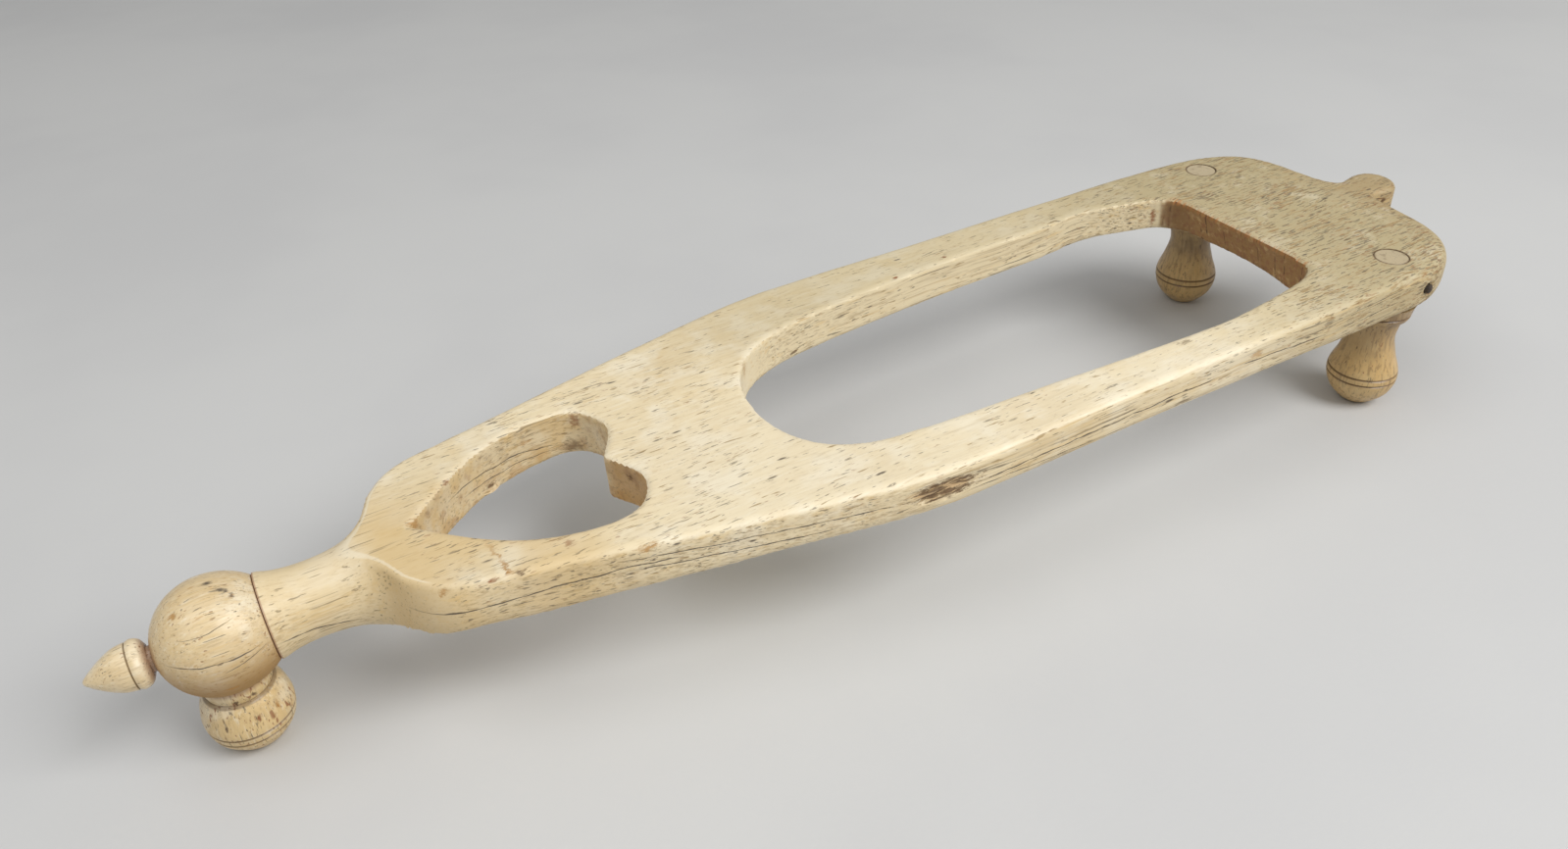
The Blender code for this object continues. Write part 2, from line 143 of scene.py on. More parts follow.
# Finial: (distance from the ball's middle, radius)
FINIAL_TIP = 24.7
FINIAL_SEAT = 11.6
FINIAL_NECK = 2.7
FINIAL_BEAD = ((12.6, 3.3), (13.4, 4.6), (14.8, 5.15), (15.6, 4.95))
FINIAL_LINE = (15.8, 4.6)
FINIAL_POINT = ((16.0, 4.9), (18.2, 4.55), (20.6, 3.45), (23.0, 1.85), (24.3, 0.75))
FINIAL_END = (24.6, 0.4)

# Rear feet: (height above the table, radius)
TENON_HALF_SPACING = 34.0
TENON_RADIUS = 4.25
TENON_FLUSH = 0.05
TENON_EDGE = 0.08
TENON_MARGIN = 1.0
TOP_TOLERANCE = 0.01
SHOULDER_RADIUS = 9.2
REAR_LEAN = 1.2
COLLAR = ((31.0, 8.85), (28.4, 8.35), (27.5, 7.9))
COLLAR_LINE = 29.2
BALUSTER_NECK = ((26.9, 7.0), (24.8, 6.4), (20.8, 6.05), (15.6, 7.3))
BALUSTER = (*BALUSTER_NECK, (9.6, 9.15), (4.6, 8.05), (1.2, 5.2), (0.0, 3.6))
REAR_GROOVES = (10.4, 8.6)

# Front foot, a squat bun: (height above the table, radius)
BUN_SEAT = 18.6
BUN_TENON_RADIUS = 4.0
BUN_TENON_LENGTH = 8.0
BUN_RING = ((BUN_SEAT, 7.1), (16.8, 7.1), (15.0, 6.6))
BUN = ((14.6, 7.2), (13.2, 8.1), (10.8, 8.8), (8.0, 9.2), (4.4, 8.5), (1.4, 6.4), (0.0, 4.9))
BUN_GROOVES = (7.1, 5.3)

# Incised grooves, pegs and cutters
GROOVE_DEPTH = 0.36
GROOVE_HALF_WIDTH = 0.34
PEG_CROWN = 0.5
PEG_CROWN_POWER = 3
PEG_CROWN_STEPS = 9
PEG_RADIUS = 1.27
CUTTER_OVERRUN = 10.0
SOCKET_START = 1.0

# Colours, linear
CREAM = (0.83, 0.70, 0.46)
PALE = (0.90, 0.82, 0.64)
TAN = (0.60, 0.43, 0.21)
HONEY = (0.70, 0.49, 0.21)
SHADE = (0.38, 0.26, 0.12)
# Greyer bone, laid on the tail as its own tone and as painted shade, and on the left rail as painted shade
GREY_TONE_AND_SHADE = (0.44, 0.36, 0.195)
OCHRE = (0.44, 0.22, 0.055)
RUST = (0.27, 0.10, 0.035)
UMBER = (0.13, 0.070, 0.030)
PORE = (0.095, 0.072, 0.050)
CRACK = (0.050, 0.040, 0.034)
SAWN = (0.32, 0.160, 0.038)
SAWN_RIM = (0.50, 0.20, 0.055)
HEART_BROWN = (0.50, 0.26, 0.055)
TENON_TOP = (0.54, 0.45, 0.29)
TURNED_CREAM = (0.76, 0.595, 0.35)
TURNED_TAN = (0.46, 0.28, 0.10)
BUN_CREAM = (0.70, 0.51, 0.245)
REAR_CREAM = (0.60, 0.395, 0.16)
REAR_TAN = (0.30, 0.18, 0.065)
REAR_PALE = (0.63, 0.46, 0.22)
# Brown of the ball's underside: partly its own colour, partly painted shade
BALL_SHADE = (0.35, 0.180, 0.035)
PEG_DARK = (0.030, 0.018, 0.010)
PEG_LIGHT = (0.10, 0.060, 0.032)
FLOOR = (0.62, 0.62, 0.61)
FLOOR_SHADE = (0.58, 0.58, 0.575)

# Long cracks: (x, z) of both ends, how far each wanders, its half width and a seed
RIGHT_CRACKS = (
    ((-284.0, -9.6), (-266.0, -12.0), 0.8, 0.16, 0.3),
    ((-259.0, -6.2), (-204.0, -4.6), 0.7, 0.17, 1.1),
    ((-220.0, -2.9), (-160.0, -5.2), 0.6, 0.14, 2.6),
    ((-219.0, -5.6), (-172.0, -7.4), 0.5, 0.15, 3.4),
    ((-142.0, -6.2), (-70.0, -5.4), 0.9, 0.17, 4.2),
    ((-145.0, -7.2), (-104.0, -8.6), 0.6, 0.12, 5.9),
    ((-66.0, -4.6), (-34.0, -6.2), 0.6, 0.15, 6.4),
)
HEART_CRACKS = (
    ((-244.0, -4.6), (-212.0, -8.6), 0.9, 0.13, 1.7),
    ((-240.0, -8.2), (-214.0, -9.6), 0.7, 0.11, 3.1),
)
BALL_CRACKS = (
    ((-303.6, -6.3), (-284.6, -7.2), 0.7, 0.13, 0.9),
    ((-294.0, -9.2), (-284.0, -8.0), 0.5, 0.10, 2.2),
    ((-300.0, -1.6), (-288.0, -0.8), 0.6, 0.06, 4.8),
)

# Stains and pits: the middle, the reach along each axis, the colour and how strong it is
PLANK_MARKS = (
    ((-251.4, 0.8, -1.0), (2.2, 1.8, 1.6), OCHRE, 0.7),
    ((-208.8, 19.8, -2.2), (1.7, 1.6, 2.6), RUST, 0.7),
    ((-210.0, 20.5, -9.5), (4.5, 2.2, 2.0), UMBER, 0.6),
    ((-231.8, 17.8, -10.3), (3.0, 1.6, 0.6), UMBER, 0.9),
    ((-221.0, 20.4, -4.5), (2.4, 1.4, 1.2), OCHRE, 0.6),
    ((-205.8, -6.2, -3.3), (1.2, 1.2, 1.2), UMBER, 0.7),
    ((-241.6, 10.7, -0.4), (1.3, 1.0, 1.0), RUST, 0.7),
    ((-242.5, -25.2, -0.2), (1.3, 0.9, 0.9), RUST, 0.95),
    ((-237.1, -26.3, -0.3), (1.3, 0.7, 0.7), UMBER, 0.95),
    ((-252.2, -22.5, -1.2), (1.6, 1.0, 1.0), OCHRE, 0.85),
    ((-225.8, -23.2, 0.0), (1.2, 1.6, 1.0), RUST, 0.6),
    ((-212.3, -32.3, -0.8), (3.4, 0.9, 1.1), OCHRE, 0.8),
    ((-165.9, 16.3, -2.0), (2.2, 1.8, 1.8), OCHRE, 0.5),
    ((-147.3, 25.8, -8.7), (1.8, 1.2, 0.6), UMBER, 0.8),
    ((-112.5, 30.8, 0.0), (0.9, 0.6, 0.8), RUST, 0.95),
    ((-95.4, 32.8, 0.0), (1.0, 0.6, 0.8), RUST, 0.95),
    ((-73.6, -35.2, 0.0), (2.4, 1.0, 1.0), UMBER, 0.6),
    ((-59.0, -45.1, -3.2), (2.8, 1.2, 1.0), OCHRE, 0.6),
    ((-81.3, -45.1, -8.4), (2.6, 1.2, 0.9), UMBER, 0.6),
    ((-25.0, 27.3, -5.0), (1.0, 2.2, 4.0), RUST, 0.9),
    ((31.9, -6.6, -3.4), (1.1, 1.2, 1.0), UMBER, 0.95),
)
BALL_MARKS = (
    ((-291.3, 0.6, 2.8), (1.3, 0.9, 0.9), PORE, 0.9),
    ((-289.2, -2.1, 2.2), (1.5, 1.0, 1.0), PORE, 0.9),
    ((-287.7, -3.7, 1.3), (0.8, 0.6, 0.6), UMBER, 0.8),
    ((-298.4, -3.6, 1.1), (1.5, 0.8, 0.8), OCHRE, 0.8),
    ((-293.4, -11.2, -14.2), (1.6, 1.4, 0.8), OCHRE, 0.8),
)

# The same on the front foot, in the foot's own frame
BUN_MARKS = (
    ((-4.6, -7.2, 10.8), (0.5, 0.8, 3.2), UMBER, 0.95),
    ((1.6, -8.4, 11.4), (0.9, 1.0, 1.2), RUST, 0.9),
    ((4.0, -7.6, 10.2), (0.9, 1.0, 1.6), RUST, 0.8),
    ((5.6, -6.6, 11.6), (0.8, 0.9, 1.4), OCHRE, 0.9),
    ((-1.4, -7.0, 15.9), (1.0, 1.0, 0.7), UMBER, 0.9),
    ((2.4, -6.8, 16.4), (1.2, 1.0, 0.7), UMBER, 0.9),
)

# Relief and gloss of dark marks; a crack's bends, swellings and edge; reach of flecks and dashes
PIT_DEPTH = 0.05
PIT_DULL = 0.25
MARK_DEPTH = 0.08
CRACK_DEPTH = 0.12
CRACK_STRENGTH = 0.85
CRACK_BEND_SIZE = 11.0
CRACK_SWELL_SIZE = 4.0
CRACK_SWELL_SEED = 5.0
CRACK_THINNEST = 0.35
CRACK_EDGE = (-0.06, 0.10)
CRACK_FADE = 6.0
FLECK_EDGE = 0.07
DASH_REACH = 0.36

# Where looks change on the plank: each pair runs from where one begins to where it is full
TAIL_X = (-85.0, 0.0)
# The lobe darkens partly as its own tone and partly as painted shade of the light falling away
LOBE_TONE_AND_SHADE_X = (14.0, 28.0)
FRONT_X = (-165.0, -225.0)
NEAR_HEART_X = (-205.0, -240.0)
NECK_X = (-252.0, -262.0)
NECK_PORES_X = (-250.0, -262.0)
NECK_CRACKS_X = (-262.0, -266.0)
# Painted shade over the left rail, away from the light
LEFT_RAIL_SHADE_X = (-200.0, -140.0)
LEFT_RAIL_SHADE_Y = (12.0, 30.0)
LEFT_WALL_LOOK_X = (-16.0, -24.0)
LEFT_WALL_LOOK_Y = (10.0, 16.0)
RIGHT_HALF_Y = (15.0, -15.0)
RIGHT_SIDE_Y = (-5.0, -12.0)
MELLOW_X = ((-205.0, -232.0), (-266.0, -258.0))
MELLOW_Y = (20.0, 0.0)
WORN_X = ((-215.0, -195.0), (-55.0, -90.0))
WORN_Y = (10.0, -10.0)
# Painted highlight along the neck's crease
CREASE_HIGHLIGHT_X = ((-268.0, -265.0), (-252.5, -254.5))
WINDOW_END_X = ((-26.0, -23.5), (-11.0, -14.0))
WINDOW_END_Y = (29.5, 27.5)
WINDOW_CORNER_Y = (12.0, 27.0)
WINDOW_FOOT_Z = (-8.6, -9.8)
LIP_X = ((-24.0, -22.0), (-18.6, -20.2))
LIP_Y = (26.0, 23.0)
LIP_Z = (-1.8, -0.5)

# The same on the feet, the ball and the finial
# Painted shadow of the plank on the rear feet's upper part
REAR_PLANK_SHADOW_Z = (13.0, 26.0)
REAR_BLOTCH_Z = (14.0, 22.0)
TENON_END = (0.6, 0.3)
TENON_RIM = (TENON_RADIUS - 0.35, TENON_RADIUS - 0.1)
BUN_STAIN_Z = (14.0, 15.5)
BUN_SEAT_Z = (BUN_SEAT - 1.6, BUN_SEAT)
# Ball's underside: its own brown and painted shade
BALL_BROWN_AND_SHADE_UNDER_Z = (AXIS_Z + 6.5, AXIS_Z - 7.0)
BALL_RIGHT_Y = (-1.0, -4.0)
# Painted shade where the finial enters the ball, on the ball's nose and the finial's root
BALL_NOSE_SHADE_X = (BALL_X - 10.6, BALL_X - 12.0)
FINIAL_ROOT_SHADE_X = (BALL_X - 14.0, BALL_X - 12.4)

# The same for the way that a surface faces, and for how far it bulges
SIDE_FACING = (0.78, 0.35)
LENGTHWISE_FACING = (0.60, 0.25)
TOP_FACING = (0.5, 0.9)
# Painted highlight along the neck's crease
CREASE_HIGHLIGHT_FACING = ((0.90, 0.95), (0.997, 0.985))
RIGHT_FACING = (-0.2, -0.5)
LEFT_WALL_FACING = (-0.4, -0.8)
WINDOW_END_FACING = (-0.5, -0.85)
# Pale arrises are partly wear and partly painted highlight; darkened creases are painted shade
WORN_AND_LIT_ARRIS_BULGE = (0.515, 0.56)
SHADED_CREASE_BULGE = (0.485, 0.45)

# How much more crowded the pores are in some places
TAIL_PORES = 0.085
FRONT_PORES = 0.03
NECK_PORES = -0.14
CLUSTER_PORES = 0.05

# Reach of the heart's browned walls: from its point it spreads to its full half width
HEART_POINT = -258.0
HEART_SPREAD = 0.95
HEART_WIDTH = 24.5
HEART_FADE = 1.5
HEART_REAR_X = (-200.5, -203.0)
# Ochre low on the heart's walls: partly stain, partly painted shade
HEART_LOW_STAIN_AND_SHADE_Z = (-5.0, -12.0)
HEART_LEFT_Y = (2.0, 6.0)
HEART_RIGHT_Y = (1.0, -3.0)

# Brown scratch across the top between the heart and the right edge
SCRATCH_X = -240.0
SCRATCH_START_Y = -13.5
SCRATCH_STRONGER_Y = (-7.5, -25.0)
SCRATCH_END_Y = (-26.0, -25.0)
SCRATCH_SLANT = 0.10
SCRATCH_HALF_WIDTH = 0.08
SCRATCH_SOFT = 0.6
SCRATCH_WANDER = 0.7
SCRATCH_BEND_SIZE = 5.0
SCRATCH_BREAK_SIZE = 2.2
SCRATCH_FEATHER = 5.0

# Dark lines in seams and grooves: half width and soft edge
NECK_SEAM_LINE = (0.12, 0.30)
TENON_SEAM_LINE = (0.12, 0.22)
GROOVE_LINE = (0.15, 0.32)
RING_LINE = (0.15, 0.4)
FINIAL_GROOVE_LINE = (0.08, 0.16)

# Wavering of the grain, ragged edges of stains, the step from pattern to pattern, and gloss
WAVER = 3.0
WAVER_SIZE = 32.0
RAGGED_SIZE = (2.4, 0.7)
RAGGED_SEED = 3.0
SEED_STRIDE = (17.3, 41.7, 29.1)
PLANK_ROUGHNESS = 0.50
TURNED_ROUGHNESS = 0.34
IOR = 1.54

# Stage: the floor's half length; each lamp's name, diameter and place in metres and power in watts
FLOOR_REACH = 4000.0
LAMPS = (
    ("key", 0.8, (0.45, -0.75, 0.95), 12.5),
    ("front", 1.2, (-0.60, -0.05, 1.15), 5.6),
)
LAMP_TARGET = (0.0, 0.0, 0.03)
WORLD_STRENGTH = 0.29


def packed_points(node):
    return np.array([vertex.co for vertex in frame["nodes"][node].data.vertices])


def foot_frame(node):
    """Upright frame on the table under a foot's tenon, whose end is its highest face."""
    points = packed_points(node)
    face = points[points[:, 2] > points[:, 2].max() - TOP_TOLERANCE * MM]
    x, y, _ = (face.min(0) + face.max(0)) / 2.0
    return Matrix.Translation((x, y, 0.0))


def plank_frame():
    """The plank's own frame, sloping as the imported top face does."""
    face = next(mount for mount in frame["record"]["mounts"] if mount["name"] == "top_face")
    point = Vector(face["pos_m"])
    axis = Vector(face["axis"])
    x = foot_frame("rear_left_foot").translation.x
    z = point.z - axis.x / axis.z * (x - point.x)
    return Matrix.Translation((x, 0.0, z)) @ Matrix.Rotation(asin(axis.x), 4, "Y")


PLANK = plank_frame()
AXIS = Matrix.Translation((BALL_X, 0.0, AXIS_Z)) @ Matrix.Rotation(pi / 2.0, 4, "Y")
REAR_TOP = PLANK.translation.z / MM
REAR_FEET = ("rear_left_foot", "rear_right_foot")
PEGS = ("rear_left_peg", "rear_right_peg")


# Shapes


def through(knots, steps):
    """Points of a smooth curve through the knots."""
    points = [Vector((*knot, 0.0)) for knot in knots]
    last = len(points) - 1
    directions = []
    for i in range(last + 1):
        directions.append((points[min(i + 1, last)] - points[max(i - 1, 0)]).normalized())
    curve = []
    for i in range(last):
        reach = (points[i + 1] - points[i]).length / 3.0
        leave = points[i] + directions[i] * reach
        arrive = points[i + 1] - directions[i + 1] * reach
        curve.extend(interpolate_bezier(points[i], leave, arrive, points[i + 1], steps + 1)[:-1])
    curve.append(points[last])
    return [(point.x, point.y) for point in curve]


def radius_at(profile, height):
    for (high, upper), (low, lower) in zip(profile, profile[1:]):
        if low <= height <= high:
            return upper + (lower - upper) * (high - height) / (high - low)
    raise ValueError("height outside the profile")


def groove(profile, heights):
    """Cut V lines into a (height, radius) profile that runs downwards."""
    cut_profile = list(profile)
    for height in heights:
        edges = (height + GROOVE_HALF_WIDTH, height - GROOVE_HALF_WIDTH)
        lips = [(edge, radius_at(profile, edge)) for edge in edges]
        floor = (height, radius_at(profile, height) - GROOVE_DEPTH)
        kept = [point for point in cut_profile if not edges[1] <= point[0] <= edges[0]]
        cut_profile = sorted(kept + lips + [floor], reverse=True)
    return cut_profile


def dense(profile):
    """The profile with its long straight stretches divided."""
    points = [profile[0]]
    for start, end in zip(profile, profile[1:]):
        length = sqrt((end[0] - start[0]) ** 2 + (end[1] - start[1]) ** 2)
        parts = max(ceil(length / PROFILE_STEP), 1)
        for i in range(1, parts + 1):
            share = i / parts
            points.append((start[0] + (end[0] - start[0]) * share, start[1] + (end[1] - start[1]) * share))
    return points


def turned(profile, seed):
    """Points and faces of a solid turned about Z from (height, radius) pairs that run downwards."""
    rings = dense(profile)[1:-1]
    turns = [2.0 * pi * j / SEGMENTS for j in range(SEGMENTS)]
    points = [(0.0, 0.0, profile[0][0])]
    for height, radius in rings:
        for turn in turns:
            place = Vector((radius * cos(turn), radius * sin(turn), height))
            swell = OUT_OF_ROUND * noise.noise(place / OUT_OF_ROUND_SIZE + Vector((seed, 0.0, 0.0)))
            scale = 1.0 + swell / max(radius, OUT_OF_ROUND_SIZE)
            points.append((place.x * scale, place.y * scale, place.z))
    points.append((0.0, 0.0, profile[-1][0]))
    bottom = len(points) - 1
    faces = []
    for j in range(SEGMENTS):
        after = (j + 1) % SEGMENTS
        faces.append((0, 1 + j, 1 + after))
        for i in range(len(rings) - 1):
            upper = 1 + i * SEGMENTS
            lower = upper + SEGMENTS
            faces.append((upper + j, lower + j, lower + after, upper + after))
        faces.append((bottom - SEGMENTS + j, bottom, bottom - SEGMENTS + after))
    return points, faces


def placed(name, data, pose):
    """A new object in the scene."""
    obj = bpy.data.objects.new(name, data)
    obj.matrix_world = pose
    bpy.context.scene.collection.objects.link(obj)
    return obj


def solid(name, points, faces, pose):
    """A mesh object from points in millimetres of the pose's frame."""
    mesh = bpy.data.meshes.new(name)
    mesh.from_pydata([Vector(point) * MM for point in points], [], faces)
    mesh.shade_smooth()
    mesh.set_sharp_from_angle(angle=SHARP)
    return placed(name, mesh, pose)


def rod(name, radius, low, high, pose):
    """A plain cutter."""
    profile = ((high, 0.0), (high, radius), (low, radius), (low, 0.0))
    return solid(name, *turned(profile, seed=0.0), pose)


def settled(obj, modifier_type, **settings):
    """Apply one modifier to the object's mesh."""
    modifier = obj.modifiers.new(modifier_type, modifier_type)
    for name, value in settings.items():
        setattr(modifier, name, value)
    bpy.context.view_layer.update()
    evaluated = obj.evaluated_get(bpy.context.evaluated_depsgraph_get())
    mesh = bpy.data.meshes.new_from_object(evaluated)
    obj.modifiers.clear()
    obj.data = mesh
    return obj


def cut(obj, cutter):
    """Take the cutter's shape out of the object."""
    settled(obj, "BOOLEAN", object=cutter, operation="DIFFERENCE", solver="MANIFOLD")
    bpy.data.objects.remove(cutter)
    obj.data.shade_smooth()
    obj.data.set_sharp_from_angle(angle=SHARP)


def along_plank(points):
    """Lay turned points down along the plank, from the ball's middle."""
    return [(BALL_X + z, y, AXIS_Z - x) for x, y, z in points]


def numbers(items, attribute, width, kind=np.float64):
    """One attribute of all a mesh's vertices, edges or normals, a row for each."""
    values = np.empty(len(items) * width, kind)
    items.foreach_get(attribute, values)
    return values.reshape(-1, width)


def pull(points, links):
    """From each point to the mean of the points that it is linked to."""
    count = len(points)
    here, there = links
    valence = np.maximum(np.bincount(here, minlength=count), 1)
    way = points[there] - points[here]
    return np.stack([np.bincount(here, way[:, axis], count) / valence for axis in range(3)], axis=1)


def bent(mesh, edges):
    """Which points lie on an arris: their normals bend away from a neighbour's."""
    normals = numbers(mesh.vertex_normals, "vector", 3)
    bend = np.linalg.norm(normals[edges[:, 0]] - normals[edges[:, 1]], axis=1)
    arris = np.zeros(len(normals), bool)
    arris[edges[bend > EDGE_BEND].ravel()] = True
    beside = edges[arris[edges].any(axis=1)]
    arris[beside.ravel()] = True
    return arris


def relaxed(mesh):
    """The skin's points with their facets eased: arrises are eased along themselves only."""
    points = numbers(mesh.vertices, "co", 3)
    edges = numbers(mesh.edges, "vertices", 2, np.int32)
    arris = bent(mesh, edges)
    here = np.concatenate([edges[:, 0], edges[:, 1]])
    there = np.concatenate([edges[:, 1], edges[:, 0]])
    kept = arris[there] | ~arris[here]
    links = (here[kept], there[kept])
    ease = np.where(arris, ARRIS_RELAX, RELAX)[:, None]
    for _ in range(RELAX_ROUNDS):
        points = points + ease * pull(points, links)
        points = points - RELAX_BACK * ease * pull(points, links)
    along = (points[:, 0] - SHOULDER_PLACE[0]) / SHOULDER_RADII[0]
    across = (np.abs(points[:, 1]) - SHOULDER_PLACE[1]) / SHOULDER_RADII[1]
    shoulder = RELAX * np.clip(SHOULDER_FADE * (1.0 - along**2 - across**2), 0.0, 1.0)[:, None]
    for _ in range(SHOULDER_ROUNDS):
        points[:, :2] += shoulder * pull(points, (here, there))[:, :2]
    return points


def peg_frame(node):
    """Frame in the middle of a packed peg with Z out of the plank, and the peg's half length."""
    points = packed_points(node)
    middle = points.mean(0)
    axis = Vector(np.linalg.svd(points - middle, full_matrices=False)[2][0])
    if axis.y * middle[1] < 0.0:
        axis.negate()
    along = (points - middle) @ np.array(axis)
    half = (along.max() - along.min()) / 2.0
    place = Vector(middle) + axis * ((along.max() + along.min()) / 2.0)
    turn = axis.to_track_quat("Z", "Y").to_matrix().to_4x4()
    return Matrix.Translation(place) @ turn, half / MM


def plug(bm, radius, low, high, place):
    """Fill a hole of the skin with a plain rod."""
    middle = place @ Matrix.Translation((0.0, 0.0, (low + high) / 2.0))
    size = {"radius1": radius, "radius2": radius, "depth": high - low}
    bmesh.ops.create_cone(bm, cap_ends=True, segments=PLUG_SEGMENTS, matrix=middle, **size)


def plank_skin():
    """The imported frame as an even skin, its holes filled and its neck longer."""
    bm = bmesh.new()
    bm.from_mesh(frame["nodes"]["frame"].data)
    to_plank = Matrix.Scale(1.0 / MM, 4) @ PLANK.inverted()
    bmesh.ops.transform(bm, matrix=to_plank, verts=bm.verts[:])
    bmesh.ops.remove_doubles(bm, verts=bm.verts[:], dist=WELD)
    for y in (TENON_HALF_SPACING, -TENON_HALF_SPACING):
        plug(bm, MORTISE_PLUG_RADIUS, -MORTISE_PLUG_DEPTH, 0.0, Matrix.Translation((0.0, y, 0.0)))
    for node in PEGS:
        pose, half = peg_frame(node)
        place = PLANK.inverted() @ pose
        place.translation /= MM
        plug(bm, PEG_PLUG_RADIUS, -half, half - PEG_PLUG_SHORT, place)
    low, high = [NECK_END - BALL_X + reach for reach in NECK_PLUG_REACH]
    plug(bm, NECK_PLUG_RADIUS, low, high, AXIS)
    mesh = bpy.data.meshes.new("frame_bone")
    bm.to_mesh(mesh)
    bm.free()
    obj = placed("frame_bone", mesh, Matrix.Identity(4))
    return settled(obj, "REMESH", mode="VOXEL", voxel_size=SKIN_STEP)


def oval(point, middle, radii):
    """1 in the middle of an oval, falling to 0 at its edge."""
    away = Vector([(p - m) / r for p, m, r in zip(point, middle, radii)]).length
    return max(1.0 - away * away, 0.0)


def weathering(point, normal):
    """How far a point of the skin stands out: uneven, scarred, sawn or splintered."""
    push = UNDULATION * noise.noise(point / UNDULATION_SIZE)
    push += RIPPLE * noise.noise(point / RIPPLE_SIZE)
    scar = oval(point, SCAR_PLACE, SCAR_RADII)
    if scar > 0.0:
        fibre = noise.noise(Vector([p / size for p, size in zip(point, SCAR_FIBRE)]))
        push -= SCAR_DEPTH * min(SCAR_EDGE * scar, 1.0) * max(fibre + SCAR_SHARE, 0.0)
    if SAWN_END[0] < point.x < SAWN_END[1] and abs(point.y) < SAWN_HALF_WIDTH:
        if normal.x < SAW_RIPPLE_FACING:
            stroke = Vector((point.y / SAW_RIPPLE_WIDTH, point.z / SAW_RIPPLE_HEIGHT, 0.0))
            push += SAW_RIPPLE * noise.noise(stroke)
        if normal.x < NICK_FACING:
            rim = max(1.0 + point.z / NICK_REACH, 0.0)
            nick = noise.noise(Vector((point.y / NICK_SIZE, 0.0, NICK_SEED)))
            push -= NICK_DEPTH * rim * max(nick - NICK_SPARED, 0.0)
    push += SPLINTER_REACH * oval(point, SPLINTER_PLACE, SPLINTER_RADII)
    return push


def wall_shift(points):
    """How far each point moves with the rear part of the window's left wall."""
    along = np.interp(points[:, 0], LEFT_WALL_X, (0.0, 1.0))
    across = np.interp(np.abs(points[:, 1] - LEFT_WALL_Y), LEFT_WALL_REACH, (1.0, 0.0))
    return LEFT_WALL_SHIFT * along * across * (points[:, 0] < SAWN_END[1])


def frame_piece():
    """The plank's skin, weathered, with its mortises, peg holes and neck end cut clean."""
    obj = plank_skin()
    mesh = obj.data
    points = relaxed(mesh)
    points[:, 1] += wall_shift(points)
    mesh.vertices.foreach_set("co", points.ravel())
    mesh.update()
    normals = numbers(mesh.vertex_normals, "vector", 3)
    for i, normal in enumerate(normals):
        points[i] += normal * weathering(Vector(points[i]), Vector(normal))
    mesh.vertices.foreach_set("co", (points * MM).ravel())
    mesh.update()
    mesh.shade_smooth()
    obj.matrix_world = PLANK
    for node in REAR_FEET:
        low, high = REAR_TOP - 2.0 * CUTTER_OVERRUN, REAR_TOP + CUTTER_OVERRUN
        cut(obj, rod("mortise", TENON_RADIUS + SEAM, low, high, foot_frame(node)))
    for node in PEGS:
        pose, half = peg_frame(node)
        cut(obj, rod("peg_hole", PEG_RADIUS + SEAM, -half - SEAM, half + CUTTER_OVERRUN, pose))
    axis = AXIS.copy()
    axis.translation *= MM
    face = NECK_END - BALL_X
    cut(obj, rod("neck_face", 2.0 * NECK_PLUG_RADIUS, face - CUTTER_OVERRUN, face, PLANK @ axis))
    bottom = face + SPIGOT_LENGTH + SEAM
    cut(obj, rod("socket", SPIGOT_RADIUS + SEAM, face - CUTTER_OVERRUN, bottom, PLANK @ axis))
    return obj


def ball_radius(x):
    half_length = BALL_NOSE if x < 0.0 else BALL_REAR
    return BALL_RADIUS * sqrt(max(1.0 - (x / half_length) ** 2, 0.0))


def ball_piece():
    """The egg-shaped ball with its spigot, the finial's recess and the bun foot's seat."""
    face = NECK_END - SEAM - BALL_X
    recess = FINIAL_NECK + SEAM
    mouth = -BALL_NOSE * sqrt(1.0 - (recess / BALL_RADIUS) ** 2)
    profile = [(face + SPIGOT_LENGTH, 0.0), (face + SPIGOT_LENGTH, SPIGOT_RADIUS), (face, SPIGOT_RADIUS)]
    profile += [(face, ball_radius(face) - BALL_EDGE), (face - BALL_EDGE, ball_radius(face - BALL_EDGE))]
    start = face - 2.0 * BALL_EDGE
    profile += [(x, ball_radius(x)) for x in np.linspace(start, mouth, BALL_STEPS)]
    profile += [(-FINIAL_SEAT + SEAM, recess), (-FINIAL_SEAT + SEAM, 0.0)]
    points, faces = turned(profile, seed=1.0)
    obj = solid("ball_bone", along_plank(points), faces, PLANK)
    pose = foot_frame("front_foot")
    cut(obj, rod("seat", BUN_RING[0][1] + SEAM, 0.0, BUN_SEAT + SEAM, pose))
    roof = BUN_SEAT + BUN_TENON_LENGTH + SEAM
    cut(obj, rod("socket", BUN_TENON_RADIUS + SEAM, BUN_SEAT - SOCKET_START, roof, pose))
    return obj


def finial_piece():
    """Pointed finial with a bead behind its incised line."""
    profile = [(FINIAL_SEAT, 0.0), (FINIAL_SEAT, FINIAL_NECK), (FINIAL_BEAD[0][0], FINIAL_NECK)]
    profile += through(FINIAL_BEAD, SMALL_STEPS) + [FINIAL_LINE] + through(FINIAL_POINT, POINT_STEPS)
    profile += [FINIAL_END, (FINIAL_TIP, 0.0)]
    forward = [(-distance, radius) for distance, radius in profile]
    points, faces = turned(forward, seed=2.0)
    return solid("finial_bone", along_plank(points), faces, PLANK)


def shoulder_height(node):
    """Height at which a packed rear foot's collar meets the underside of the plank."""
    points = packed_points(node)
    away = np.linalg.norm((points - foot_frame(node).translation)[:, :2], axis=1)
    return points[away > (TENON_RADIUS + TENON_MARGIN) * MM, 2].max() / MM


